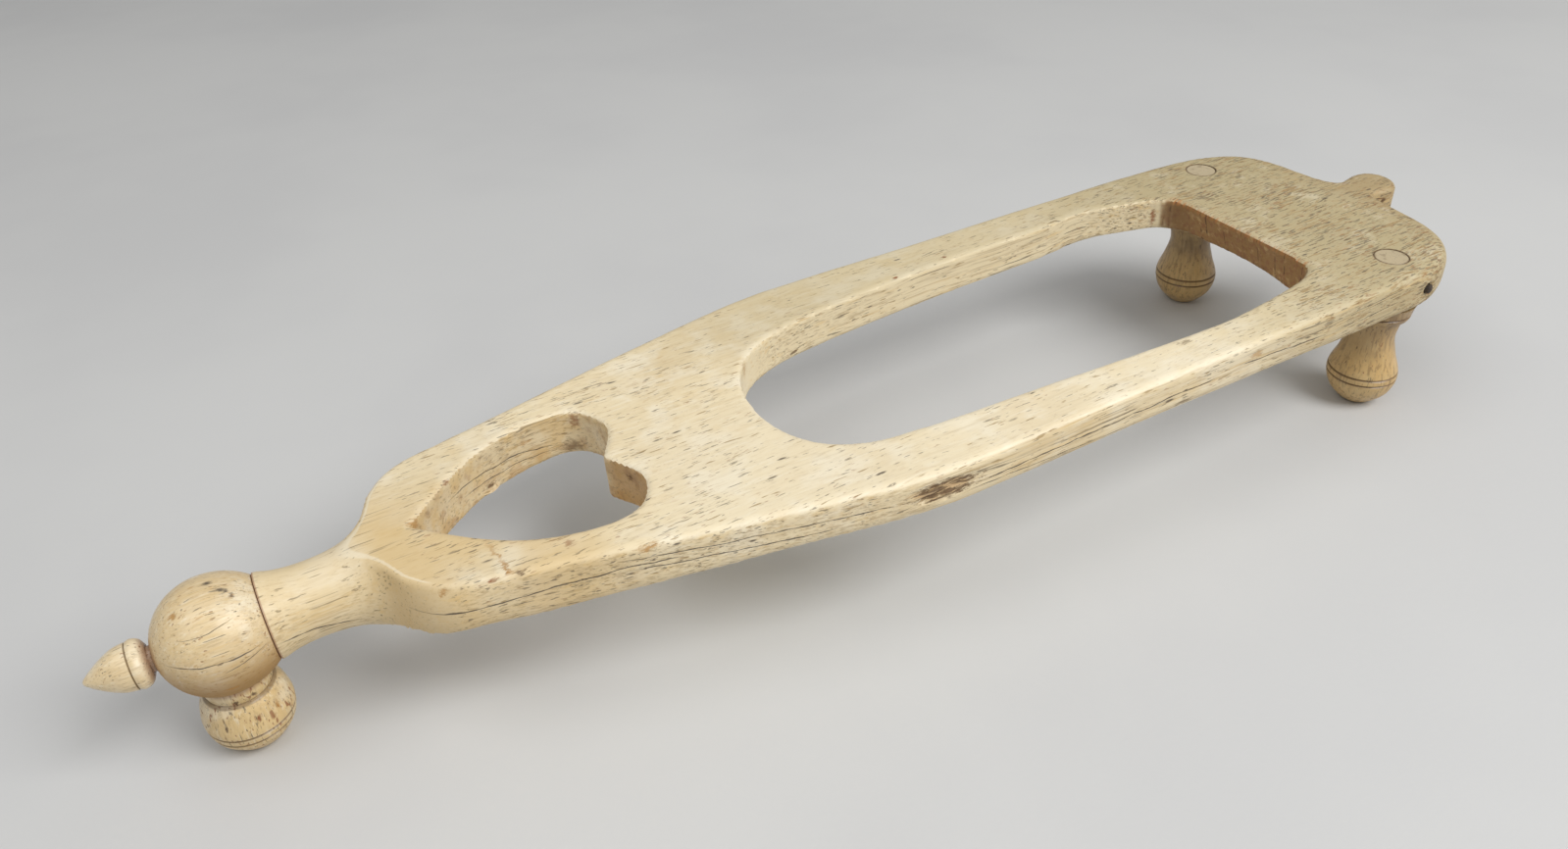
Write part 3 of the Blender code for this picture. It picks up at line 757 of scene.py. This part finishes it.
def rear_foot_piece(node, seed):
    """Baluster foot with a collar under the plank, leaning out a little, and an upright tenon."""
    top = REAR_TOP - TENON_FLUSH
    shoulder = shoulder_height(node)
    profile = [(top, 0.0), (top, TENON_RADIUS - TENON_EDGE), (top - TENON_EDGE, TENON_RADIUS)]
    profile.append((shoulder, TENON_RADIUS))
    collar = through([(shoulder, SHOULDER_RADIUS), *COLLAR], SMALL_STEPS)
    profile += groove(collar, [COLLAR_LINE])
    profile += groove(through(BALUSTER, BODY_STEPS), REAR_GROOVES)
    profile.append((0.0, 0.0))
    points, faces = turned(profile, seed)
    leaning = [(x + REAR_LEAN * max(1.0 - z / shoulder, 0.0), y, z) for x, y, z in points]
    return solid(node + "_bone", leaning, faces, foot_frame(node))


def front_foot_piece():
    """Squat foot under the ball, with a ring neck and a short tenon."""
    top = BUN_SEAT + BUN_TENON_LENGTH
    profile = [(top, 0.0), (top, BUN_TENON_RADIUS), (BUN_SEAT, BUN_TENON_RADIUS)]
    profile += through(BUN_RING, SMALL_STEPS)
    profile += groove(through(BUN, BODY_STEPS), BUN_GROOVES)
    profile.append((0.0, 0.0))
    points, faces = turned(profile, seed=5.0)
    return solid("front_foot_bone", points, faces, foot_frame("front_foot"))


def peg_piece(node):
    """A peg driven in from the plank's edge, its outer end worn to a low dome."""
    pose, half = peg_frame(node)
    profile = []
    for radius in np.linspace(0.0, PEG_RADIUS, PEG_CROWN_STEPS):
        profile.append((half - PEG_CROWN * (radius / PEG_RADIUS) ** PEG_CROWN_POWER, radius))
    profile += [(-half, PEG_RADIUS), (-half, 0.0)]
    return solid(node + "_wood", *turned(profile, seed=6.0), pose)


# Materials


class Surface:
    """A material built up in layers: each adds colour, gloss or relief where its mask says."""

    def __init__(self, name, colour, roughness, along="x", seed=0.0):
        self.material = bpy.data.materials.new(name)
        self.material.use_nodes = True
        self.tree = self.material.node_tree
        self.shader = self.tree.nodes["Principled BSDF"]
        self.seed = seed
        coords = self.add("TexCoord")
        self.place = self.vector("SCALE", coords.outputs["Object"], scale=1.0 / MM)
        self.x, self.y, self.z = self.add("SeparateXYZ", {0: self.place}).outputs
        self.facing = self.add("SeparateXYZ", {0: coords.outputs["Normal"]}).outputs
        order = (self.x, self.y, self.z) if along == "x" else (self.z, self.x, self.y)
        straight = self.add("CombineXYZ", dict(enumerate(order))).outputs[0]
        waves = {"Vector": straight, "Scale": 1.0 / WAVER_SIZE, "Detail": 1.0}
        drift = self.vector("SUBTRACT", self.add("TexNoise", waves).outputs[1], (0.5, 0.5, 0.5))
        sway = self.vector("MULTIPLY", drift, (0.0, WAVER, WAVER))
        self.grain = self.vector("ADD", straight, sway)
        self.ragged = self.noise(self.stretched(RAGGED_SIZE, RAGGED_SEED), detail=4.0, rough=0.65)
        self.colour = (*colour, 1.0)
        self.roughness = roughness
        self.relief = 0.0

    def add(self, kind, inputs=None, **settings):
        node = self.tree.nodes.new("ShaderNode" + kind)
        for name, value in settings.items():
            setattr(node, name, value)
        self.feed(node, inputs or {})
        return node

    def feed(self, node, inputs):
        for key, value in inputs.items():
            if isinstance(value, bpy.types.NodeSocket):
                self.tree.links.new(value, node.inputs[key])
            else:
                node.inputs[key].default_value = value

    def math(self, operation, a, b=0.0, c=0.0):
        return self.add("Math", {0: a, 1: b, 2: c}, operation=operation).outputs[0]

    def vector(self, operation, a, b=(0.0, 0.0, 0.0), scale=1.0):
        inputs = {0: a, 3: scale} if operation == "SCALE" else {0: a, 1: b}
        return self.add("VectorMath", inputs, operation=operation).outputs[0]

    def step(self, value, low, high):
        """0 below low to 1 above high, or the other way round where high is the smaller."""
        inputs = {"Value": value, "From Min": low, "From Max": high}
        return self.add("MapRange", inputs, interpolation_type="SMOOTHSTEP").outputs[0]

    def mix(self, a, b, share):
        inputs = {0: share, 6: a, 7: b}
        return self.add("Mix", inputs, data_type="RGBA").outputs[2]

    def both(self, *masks):
        """Where all of these masks are."""
        product = masks[0]
        for mask in masks[1:]:
            product = self.math("MULTIPLY", product, mask)
        return product

    def within(self, value, *ramps):
        """Where the value has passed all of these ramps."""
        return self.both(*[self.step(value, *ramp) for ramp in ramps])

    def without(self, mask):
        return self.math("SUBTRACT", 1.0, mask)

    def size(self, value):
        return self.math("ABSOLUTE", value)

    def length(self, vector):
        return self.add("VectorMath", {0: vector}, operation="LENGTH").outputs["Value"]

    def from_axis(self, x, y):
        """Distance from an upright axis."""
        return self.length(self.add("CombineXYZ", {0: x, 1: y}).outputs[0])

    def noise(self, vector, scale=1.0, detail=2.0, rough=0.5):
        inputs = {"Vector": vector, "Scale": scale, "Detail": detail, "Roughness": rough}
        return self.add("TexNoise", inputs).outputs[0]

    def along_noise(self, value, size, seed):
        """Noise that changes along one measure only, from -1 to 1."""
        measure = self.math("MULTIPLY_ADD", value, 1.0 / size, seed)
        inputs = {"W": measure, "Scale": 1.0, "Detail": 3.0}
        level = self.add("TexNoise", inputs, noise_dimensions="1D").outputs[0]
        return self.math("MULTIPLY_ADD", level, 2.0, -1.0)

    def shifted(self, seed):
        """Places along the grain, moved so that each layer and piece has its own pattern."""
        x, y, z = SEED_STRIDE
        return self.vector("ADD", self.grain, (x * (seed + self.seed), y * seed, z * seed))

    def stretched(self, size, seed):
        """The same in units of a mark's length along the grain and its width across it."""
        length, width = size
        return self.vector("MULTIPLY", self.shifted(seed), (1.0 / length, 1.0 / width, 1.0 / width))

    def cloud(self, size, levels, seed=1.0, detail=3.0):
        """Soft patches about this size, which come in between two levels of noise."""
        return self.step(self.noise(self.shifted(seed), 1.0 / size, detail, 0.55), *levels)

    def streaks(self, size, levels, seed=2.0):
        """Fibres along the grain, of this length and width."""
        return self.step(self.noise(self.stretched(size, seed), detail=4.0, rough=0.6), *levels)

    def flecks(self, size, level, seed, bias=0.0):
        """Thin tapering marks along the grain, more of them where the bias is larger."""
        field = self.noise(self.stretched(size, seed))
        return self.step(self.math("ADD", field, bias), level, level + FLECK_EDGE)

    def dashes(self, size, share, soft, seed):
        """Short marks along the grain in a share of cells of this size, and a random tone for each."""
        texture = self.add("TexVoronoi", {"Vector": self.stretched(size, seed), "Scale": 1.0})
        tones = self.add("SeparateColor", {0: texture.outputs["Color"]}).outputs
        reach = self.math("MULTIPLY", self.step(tones[0], self.without(share), 1.0), DASH_REACH)
        inside = self.math("SUBTRACT", reach, texture.outputs["Distance"])
        return self.step(inside, 0.0, soft), tones[1]

    def blob(self, middle, radii, edge=0.2, uneven=1.5):
        """An oval patch with a ragged edge."""
        scaled = self.vector("DIVIDE", self.vector("SUBTRACT", self.place, middle), radii)
        wavering = self.math("MULTIPLY_ADD", self.ragged, 2.0 * uneven, self.length(scaled))
        return self.step(wavering, 1.0 + uneven, edge + uneven)

    def crack(self, start, end, wander, width, seed):
        """A thin line along X from (x, z) to (x, z), wavering up and down."""
        (x0, z0), (x1, z1) = start, end
        slope = (z1 - z0) / (x1 - x0)
        line = self.math("MULTIPLY_ADD", self.x, slope, z0 - slope * x0)
        path = self.math("MULTIPLY_ADD", self.along_noise(self.x, CRACK_BEND_SIZE, seed), wander, line)
        away = self.size(self.math("SUBTRACT", self.z, path))
        swell = self.step(self.along_noise(self.x, CRACK_SWELL_SIZE, seed + CRACK_SWELL_SEED), -0.6, 0.6)
        reach = self.math("MULTIPLY", self.math("ADD", swell, CRACK_THINNEST), width)
        mask = self.step(self.math("SUBTRACT", reach, away), *CRACK_EDGE)
        fade = min(CRACK_FADE, (x1 - x0) / 4.0)
        return self.both(mask, self.step(self.x, x0, x0 + fade), self.step(self.x, x1, x1 - fade))

    def band(self, value, middle, half_width, soft):
        """A stripe on both sides of the middle value."""
        away = self.size(self.math("SUBTRACT", value, middle))
        return self.step(away, half_width + soft, half_width)

    def edge(self, low, high):
        """Arrises, or creases where high is the smaller."""
        return self.step(self.add("NewGeometry").outputs["Pointiness"], low, high)

    def tint(self, colour, mask, strength=1.0):
        """Lay a colour over what is there already."""
        share = mask if strength == 1.0 else self.math("MULTIPLY", mask, strength)
        self.colour = self.mix(self.colour, (*colour, 1.0), share)

    def sink(self, mask, depth):
        """Lower the surface by this many millimetres."""
        self.relief = self.math("MULTIPLY_ADD", mask, -depth, self.relief)

    def gloss(self, mask, change):
        """Change the roughness, which is duller where it rises."""
        self.roughness = self.math("MULTIPLY_ADD", mask, change, self.roughness)

    def finish(self, coat=0.0, coat_roughness=0.25):
        bump = self.add("Bump", {"Strength": 1.0, "Distance": MM, "Height": self.relief}).outputs[0]
        self.feed(self.shader, {"IOR": IOR, "Coat Weight": coat, "Coat Roughness": coat_roughness})
        self.feed(self.shader, {"Base Color": self.colour, "Roughness": self.roughness, "Normal": bump})
        return self.material


def bone(name, colour, tan, pale, along, seed, roughness):
    """Bone in general: mottled, fibrous along its grain and scraped, with pale arrises that are partly
    wear and partly painted highlight, and creases darkened as painted shade.
    """
    s = Surface(name, colour, roughness, along, seed)
    s.tint(tan, s.cloud(38.0, (0.46, 0.72), seed=1.0), 0.30)
    s.tint(HONEY, s.cloud(8.0, (0.54, 0.74), seed=2.0, detail=5.0), 0.34)
    s.tint(pale, s.cloud(11.0, (0.46, 0.66), seed=3.0), 0.58)
    s.tint(tan, s.streaks((50.0, 2.4), (0.50, 0.70), seed=8.0), 0.16)
    fibres = s.streaks((12.0, 0.9), (0.50, 0.72), seed=4.0)
    s.tint(SHADE, fibres, 0.18)
    s.tint(pale, s.streaks((8.0, 0.8), (0.52, 0.70), seed=5.0), 0.45)
    s.tint(SHADE, s.streaks((3.6, 0.45), (0.54, 0.68), seed=9.0), 0.30)
    spots = s.streaks((3.4, 0.7), (0.58, 0.70), seed=34.0)
    s.tint(OCHRE, s.both(spots, s.cloud(16.0, (0.45, 0.65), seed=35.0)), 0.34)
    s.sink(fibres, 0.012)
    scrape = s.streaks((9.0, 0.35), (0.35, 0.75), seed=6.0)
    s.sink(scrape, 0.006)
    s.gloss(s.cloud(6.0, (0.35, 0.70), seed=7.0), 0.10)
    s.gloss(scrape, 0.05)
    # Pale arrises: partly wear, partly painted highlight
    s.tint(pale, s.edge(*WORN_AND_LIT_ARRIS_BULGE), 0.40)
    # Painted shade in creases
    s.tint(SHADE, s.edge(*SHADED_CREASE_BULGE), 0.35)
    return s


def pit(s, mask, colour, strength, depth=PIT_DEPTH):
    """A dark mark that is also sunk and dull."""
    s.tint(colour, mask, strength)
    s.sink(mask, depth)
    s.gloss(mask, PIT_DULL)


def marks(s, table):
    for middle, radii, colour, strength in table:
        pit(s, s.blob(middle, radii), colour, strength, MARK_DEPTH)


def cracks(s, side, table):
    for crack in table:
        pit(s, s.both(side, s.crack(*crack)), CRACK, CRACK_STRENGTH, CRACK_DEPTH)


def neck_seam(s):
    """Brown line where the ball meets the neck."""
    s.tint(RUST, s.band(s.x, NECK_END, *NECK_SEAM_LINE), 0.70)


def plank_tones(s, tail, side):
    """Broad changes of tone, from the greyer tail to the honey-coloured front; the tail's darkening is
    partly painted shade, and the left rail's is painted shade.
    """
    # The tail darker and greyer: partly its own tone, partly painted shade of the light falling away
    # towards the end
    s.tint(GREY_TONE_AND_SHADE, tail, 0.88)
    # Painted shade: the left rail darker, away from the light
    s.tint(GREY_TONE_AND_SHADE, s.both(s.step(s.y, *LEFT_RAIL_SHADE_Y), s.step(s.x, *LEFT_RAIL_SHADE_X)), 0.42)
    left_wall = s.both(s.step(s.facing[1], *LEFT_WALL_FACING), s.step(s.y, *LEFT_WALL_LOOK_Y))
    s.tint(CREAM, s.both(left_wall, s.step(s.x, *LEFT_WALL_LOOK_X)), 0.75)
    mellow = s.both(s.within(s.x, *MELLOW_X), s.step(s.y, *MELLOW_Y))
    s.tint(HONEY, s.both(mellow, s.cloud(20.0, (0.22, 0.50), seed=40.0)), 0.62)
    # The lobe darker: partly its own tone, partly painted shade of the light falling away
    s.tint(SHADE, s.step(s.x, *LOBE_TONE_AND_SHADE_X), 0.55)
    s.tint(PALE, s.both(tail, s.cloud(7.0, (0.55, 0.72), seed=41.0)), 0.26)
    spots = s.both(tail, s.streaks((2.8, 0.8), (0.54, 0.66), seed=42.0))
    s.tint(OCHRE, s.both(spots, s.cloud(11.0, (0.45, 0.62), seed=43.0)), 0.28)
    s.tint(SHADE, s.step(s.x, *NEAR_HEART_X), 0.10)
    worn = s.both(s.within(s.x, *WORN_X), s.step(s.y, *WORN_Y))
    s.tint(PALE, s.both(worn, s.without(side)), 0.25)


def plank_sides(s, side, lengthwise):
    """Long fibres and hairline cracks along the plank's edges and the neck."""
    s.tint(TAN, s.both(side, s.step(s.y, *RIGHT_HALF_Y)), 0.16)
    s.tint(SHADE, s.both(side, lengthwise, s.streaks((50.0, 0.55), (0.48, 0.64), seed=11.0)), 0.50)
    s.tint(HONEY, s.both(side, s.streaks((30.0, 1.2), (0.52, 0.70), seed=20.0)), 0.50)
    neck = s.step(s.x, *NECK_X)
    pit(s, s.both(side, lengthwise, s.flecks((50.0, 0.60), 0.64, seed=12.0)), CRACK, 0.60)
    pit(s, s.both(neck, s.flecks((45.0, 0.55), 0.62, seed=19.0)), CRACK, 0.60, 0.03)
    s.tint(HONEY, neck, 0.22)


def plank_pores(s, tail, lengthwise):
    """Pores along the grain, in clusters: most in the tail, some by the heart, few on the neck."""
    clusters = s.cloud(12.0, (0.46, 0.64), seed=14.0)
    neck = s.math("MULTIPLY", s.step(s.x, *NECK_PORES_X), NECK_PORES)
    front = s.math("MULTIPLY_ADD", s.step(s.x, *FRONT_X), FRONT_PORES, neck)
    crowd = s.math("MULTIPLY_ADD", tail, TAIL_PORES, front)
    bias = s.math("MULTIPLY_ADD", clusters, CLUSTER_PORES, crowd)
    pit(s, s.both(lengthwise, s.flecks((3.6, 0.50), 0.665, 15.0, bias)), PORE, 0.60)
    pit(s, s.both(lengthwise, s.flecks((6.0, 0.75), 0.68, 16.0, bias)), SHADE, 0.80, 0.03)
    pit(s, s.both(lengthwise, s.flecks((2.4, 0.55), 0.70, 17.0, bias)), RUST, 0.45, 0.03)
    pit(s, s.both(lengthwise, tail, s.flecks((4.5, 0.8), 0.66, 48.0)), UMBER, 0.75)
    share = s.math("MAXIMUM", s.math("MULTIPLY_ADD", bias, 2.4, 0.20), 0.01)
    mask, tone = s.dashes((5.0, 1.3), share, soft=0.2, seed=18.0)
    dark = s.both(lengthwise, mask, s.step(tone, -0.1, 0.7), s.step(s.ragged, 0.36, 0.50))
    pit(s, dark, PORE, 0.88, 0.06)


def heart_walls(s, side, lengthwise):
    """The heart's browned walls, darkest on the right, with ochre low down that is partly stain and partly
    painted shade.
    """
    spread = s.math("MULTIPLY_ADD", s.x, HEART_SPREAD, -HEART_SPREAD * HEART_POINT)
    wide = s.math("MINIMUM", spread, HEART_WIDTH)
    inside = s.step(s.math("SUBTRACT", wide, s.size(s.y)), 0.0, HEART_FADE)
    heart = s.both(side, inside, s.step(s.x, *HEART_REAR_X))
    s.tint(TAN, heart, 0.22)
    s.tint(HONEY, s.both(heart, s.cloud(6.0, (0.45, 0.62), seed=36.0)), 0.55)
    # Ochre low on the walls: partly stain, partly painted shade
    low = s.both(heart, s.step(s.z, *HEART_LOW_STAIN_AND_SHADE_Z))
    s.tint(OCHRE, s.both(low, s.cloud(4.0, (0.42, 0.60), seed=37.0)), 0.45)
    s.tint(HEART_BROWN, s.both(heart, s.step(s.y, *HEART_RIGHT_Y)), 0.60)
    ends = s.both(heart, s.without(lengthwise))
    s.tint(RUST, s.both(ends, s.cloud(3.0, (0.50, 0.66), seed=38.0, detail=5.0)), 0.30)
    s.tint(UMBER, s.both(heart, s.streaks((12.0, 0.7), (0.54, 0.68), seed=25.0)), 0.45)
    cracks(s, s.both(heart, s.step(s.y, *HEART_LEFT_Y)), HEART_CRACKS)


def window_end(s):
    """The window's square end: red-brown, marked by the saw and chipped along its rim."""
    across = s.size(s.y)
    reach = s.both(s.within(s.x, *WINDOW_END_X), s.step(across, *WINDOW_END_Y))
    end = s.both(reach, s.step(s.facing[0], *WINDOW_END_FACING))
    s.tint(SAWN, end, 0.94)
    s.tint(RUST, s.both(end, s.cloud(1.6, (0.46, 0.62), seed=26.0, detail=5.0)), 0.60)
    s.tint(HONEY, s.both(end, s.cloud(2.2, (0.54, 0.70), seed=39.0, detail=5.0)), 0.40)
    strokes = s.both(end, s.step(s.along_noise(s.y, 1.1, seed=3.0), 0.18, 0.36))
    pit(s, s.both(strokes, s.cloud(2.6, (0.44, 0.58), seed=27.0)), UMBER, 0.85)
    notches = s.both(end, s.step(s.along_noise(s.y, 0.8, seed=8.0), 0.0, 0.3))
    pit(s, s.both(notches, s.step(s.z, *WINDOW_FOOT_Z)), UMBER, 0.9)
    s.tint(UMBER, s.both(end, s.step(s.y, *WINDOW_CORNER_Y)), 0.60)
    lip = s.both(s.within(s.x, *LIP_X), s.step(s.z, *LIP_Z))
    teeth = s.step(s.along_noise(s.y, 0.9, seed=5.0), -0.20, 0.25)
    s.tint(SAWN_RIM, s.both(lip, s.step(across, *LIP_Y), teeth), 0.75)


def neck_crease_highlight(s):
    """Painted highlight: a pale line where the turned shoulders cut the plank's top."""
    s.tint(PALE, s.both(s.within(s.facing[2], *CREASE_HIGHLIGHT_FACING), s.within(s.x, *CREASE_HIGHLIGHT_X)), 0.45)


def plank_damage(s, side):
    """Long cracks on the right, stains, and the scar on the right hip."""
    right = s.both(side, s.step(s.y, *RIGHT_SIDE_Y), s.step(s.facing[1], *RIGHT_FACING))
    neck_right = s.both(s.step(s.x, *NECK_CRACKS_X), s.step(s.facing[1], *RIGHT_FACING))
    cracks(s, s.math("MAXIMUM", right, neck_right), RIGHT_CRACKS)
    marks(s, PLANK_MARKS)
    scar = s.blob(SCAR_PLACE, SCAR_RADII, edge=0.5, uneven=0.9)
    s.tint(OCHRE, scar, 0.55)
    pit(s, s.both(scar, s.streaks((5.0, 0.6), (0.40, 0.58), seed=28.0)), UMBER, 0.90, 0.3)


def scratch(s):
    """A brown scratch, feathered along the grain and stronger towards the right edge."""
    slanted = s.math("MULTIPLY_ADD", s.y, SCRATCH_SLANT, s.x)
    bends = s.along_noise(s.y, SCRATCH_BEND_SIZE, seed=2.0)
    swaying = s.math("MULTIPLY_ADD", bends, SCRATCH_WANDER, slanted)
    feathered = s.math("MULTIPLY_ADD", s.ragged, SCRATCH_FEATHER, swaying)
    middle = SCRATCH_X + SCRATCH_SLANT * SCRATCH_START_Y + SCRATCH_FEATHER / 2.0
    line = s.band(feathered, middle, SCRATCH_HALF_WIDTH, SCRATCH_SOFT)
    reach = s.within(s.y, SCRATCH_STRONGER_Y, SCRATCH_END_Y)
    breaks = s.step(s.along_noise(s.y, SCRATCH_BREAK_SIZE, seed=9.0), -0.7, 0.2)
    pit(s, s.both(line, reach, s.step(s.facing[2], *TOP_FACING), breaks), OCHRE, 0.90, 0.06)


def plank_material():
    s = bone("plank_bone", CREAM, TAN, PALE, "x", 0.0, PLANK_ROUGHNESS)
    tail = s.step(s.x, *TAIL_X)
    side = s.step(s.size(s.facing[2]), *SIDE_FACING)
    lengthwise = s.step(s.size(s.facing[0]), *LENGTHWISE_FACING)
    plank_tones(s, tail, side)
    plank_sides(s, side, lengthwise)
    plank_pores(s, tail, lengthwise)
    heart_walls(s, side, lengthwise)
    window_end(s)
    neck_crease_highlight(s)
    plank_damage(s, side)
    scratch(s)
    from_tenon = s.from_axis(s.x, s.math("SUBTRACT", s.size(s.y), TENON_HALF_SPACING))
    seam = s.band(from_tenon, TENON_RADIUS + SEAM, *TENON_SEAM_LINE)
    s.tint(UMBER, s.both(seam, s.step(s.ragged, 0.25, 0.50)), 0.80)
    neck_seam(s)
    return s.finish()


def turned_material(name, seed, along, colour=TURNED_CREAM, tan=TURNED_TAN, pale=PALE):
    """Turned bone in general: glossier, with short pores and long hairline cracks."""
    s = bone(name, colour, tan, pale, along, seed, TURNED_ROUGHNESS)
    s.tint(SHADE, s.streaks((16.0, 0.7), (0.52, 0.72), seed=29.0), 0.35)
    bias = s.math("MULTIPLY", s.cloud(6.0, (0.45, 0.65), seed=24.0), 0.06)
    pit(s, s.flecks((3.0, 0.5), 0.68, 21.0, bias), PORE, 0.65)
    pit(s, s.flecks((1.8, 0.7), 0.69, 22.0, bias), RUST, 0.65)
    pit(s, s.flecks((30.0, 0.50), 0.66, 23.0), CRACK, 0.55)
    return s


def foot_material(name, seed, grooves, colour, tan, pale):
    s = turned_material(name, seed, "z", colour, tan, pale)
    for height in grooves:
        s.tint(UMBER, s.band(s.z, height, *GROOVE_LINE), 0.70)
    return s


def rear_foot_material(name, seed):
    """Brown foot, darker towards the plank as painted shadow of the plank, with the pale end of its tenon.
    """
    s = foot_material(name, seed, (*REAR_GROOVES, COLLAR_LINE), REAR_CREAM, REAR_TAN, REAR_PALE)
    # Painted shadow of the plank on the upper part of the foot
    s.tint(UMBER, s.step(s.z, *REAR_PLANK_SHADOW_Z), 0.40)
    s.tint(UMBER, s.both(s.cloud(9.0, (0.40, 0.62), seed=31.0), s.step(s.z, *REAR_BLOTCH_Z)), 0.50)
    s.tint(UMBER, s.streaks((15.0, 0.9), (0.50, 0.64), seed=45.0), 0.42)
    top = s.step(s.z, *[REAR_TOP - depth for depth in TENON_END])
    s.tint(TENON_TOP, top, 0.85)
    s.tint(UMBER, s.both(top, s.cloud(2.2, (0.54, 0.66), seed=50.0, detail=5.0)), 0.35)
    rim = s.step(s.from_axis(s.x, s.y), *TENON_RIM)
    s.tint(UMBER, s.both(top, rim), 0.60)
    return s.finish(coat=0.08, coat_roughness=0.15)


def front_foot_material():
    """Flecked foot, stained round its ring and under the ball."""
    s = foot_material("front_foot_bone", 5.0, BUN_GROOVES, BUN_CREAM, TURNED_TAN, PALE)
    bias = s.math("MULTIPLY", s.step(s.z, *BUN_STAIN_Z), 0.06)
    pit(s, s.flecks((2.6, 1.0), 0.63, 32.0, bias), RUST, 0.80)
    pit(s, s.flecks((9.0, 0.45), 0.67, 44.0), UMBER, 0.75)
    s.tint(UMBER, s.band(s.z, BUN_RING[-1][0] - 0.2, *RING_LINE), 0.60)
    s.tint(RUST, s.step(s.z, *BUN_SEAT_Z), 0.55)
    marks(s, BUN_MARKS)
    return s.finish(coat=0.06)


def ball_material():
    """Streaked ball, browner and duller below, partly its own brown and partly painted shade, with a stain
    at the neck and painted shade round the finial.
    """
    s = turned_material("ball_bone", 3.0, "x")
    s.tint(OCHRE, s.flecks((2.4, 0.6), 0.64, 46.0), 0.50)
    s.tint(HONEY, s.streaks((14.0, 0.6), (0.48, 0.66), seed=47.0), 0.35)
    # Underside browner: partly the ball's own brown, partly painted shade
    under = s.step(s.z, *BALL_BROWN_AND_SHADE_UNDER_Z)
    s.tint(BALL_SHADE, under, 0.92)
    s.gloss(under, 0.30)
    cracks(s, s.step(s.y, *BALL_RIGHT_Y), BALL_CRACKS)
    marks(s, BALL_MARKS)
    neck_seam(s)
    # Painted shade where the finial enters the ball
    s.tint(RUST, s.step(s.x, *BALL_NOSE_SHADE_X), 0.60)
    return s.finish(coat=0.06, coat_roughness=0.2)


def finial_material():
    """Finial with a dark incised line and a brown root that is painted shade where it enters the ball."""
    s = turned_material("finial_bone", 4.0, "x")
    s.tint(UMBER, s.band(s.x, BALL_X - FINIAL_LINE[0], *FINIAL_GROOVE_LINE), 0.60)
    # Painted shade at the root, where the finial enters the ball
    s.tint(RUST, s.step(s.x, *FINIAL_ROOT_SHADE_X), 0.70)
    return s.finish(coat=0.15, coat_roughness=0.2)


def peg_material():
    s = Surface("peg_wood", PEG_DARK, 0.6, "z")
    s.tint(PEG_LIGHT, s.streaks((6.0, 0.3), (0.45, 0.75)), 0.8)
    s.sink(s.cloud(0.5, (0.4, 0.7)), 0.05)
    s.gloss(s.cloud(0.8, (0.4, 0.7)), 0.1)
    return s.finish()


def floor_material():
    s = Surface("floor", FLOOR, 0.55)
    s.tint(FLOOR_SHADE, s.cloud(120.0, (0.35, 0.70)))
    s.gloss(s.cloud(60.0, (0.3, 0.7)), 0.1)
    s.sink(s.cloud(1.5, (0.3, 0.7)), 0.01)
    return s.finish()


# Stage


def lamp(name, size, place, power):
    """A soft round lamp that shines on the object."""
    light = bpy.data.lights.new(name, "AREA")
    light.shape = "DISK"
    light.size = size
    light.energy = power
    aim = (Vector(LAMP_TARGET) - Vector(place)).to_track_quat("-Z", "Y")
    placed(name, light, Matrix.Translation(place) @ aim.to_matrix().to_4x4())


def make_stage():
    """Pale floor, two soft lamps and even light all round."""
    scene = bpy.context.scene
    corners = [(FLOOR_REACH * x, FLOOR_REACH * y, 0.0) for x, y in ((-1, -1), (1, -1), (1, 1), (-1, 1))]
    floor = solid("floor", corners, [(0, 1, 2, 3)], Matrix.Identity(4))
    floor.data.materials.append(floor_material())
    for row in LAMPS:
        lamp(*row)
    world = bpy.data.worlds.new("studio")
    world.use_nodes = True
    background = world.node_tree.nodes["Background"]
    background.inputs["Color"].default_value = (1.0, 1.0, 1.0, 1.0)
    background.inputs["Strength"].default_value = WORLD_STRENGTH
    scene.world = world
    scene.view_settings.view_transform = "Standard"


def make_camera():
    """A camera at the photo's viewpoint."""
    data = bpy.data.cameras.new("camera")
    data.lens = CAMERA_LENS
    data.sensor_width = CAMERA_SENSOR
    data.sensor_fit = "HORIZONTAL"
    data.clip_start = CAMERA_CLIP * MM
    place = Matrix.Translation(Vector(CAMERA_PLACE) * MM)
    turn = Matrix.Rotation(CAMERA_YAW - pi / 2.0, 4, "Z")
    tilt = Matrix.Rotation(pi / 2.0 - CAMERA_PITCH, 4, "X")
    roll = Matrix.Rotation(CAMERA_ROLL, 4, "Z")
    bpy.context.scene.camera = placed("camera", data, PLANK @ place @ turn @ tilt @ roll)


def show(obj, node, material):
    """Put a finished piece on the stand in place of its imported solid."""
    obj.data.materials.clear()
    obj.data.materials.append(material)
    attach(obj, "root")
    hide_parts(node)


show(frame_piece(), "frame", plank_material())
show(ball_piece(), "ball", ball_material())
show(finial_piece(), "finial", finial_material())
show(front_foot_piece(), "front_foot", front_foot_material())
for node, seed in zip(REAR_FEET, (7.0, 8.0)):
    show(rear_foot_piece(node, seed), node, rear_foot_material(node + "_bone", seed))
for node in PEGS:
    show(peg_piece(node), node, peg_material())
make_stage()
make_camera()
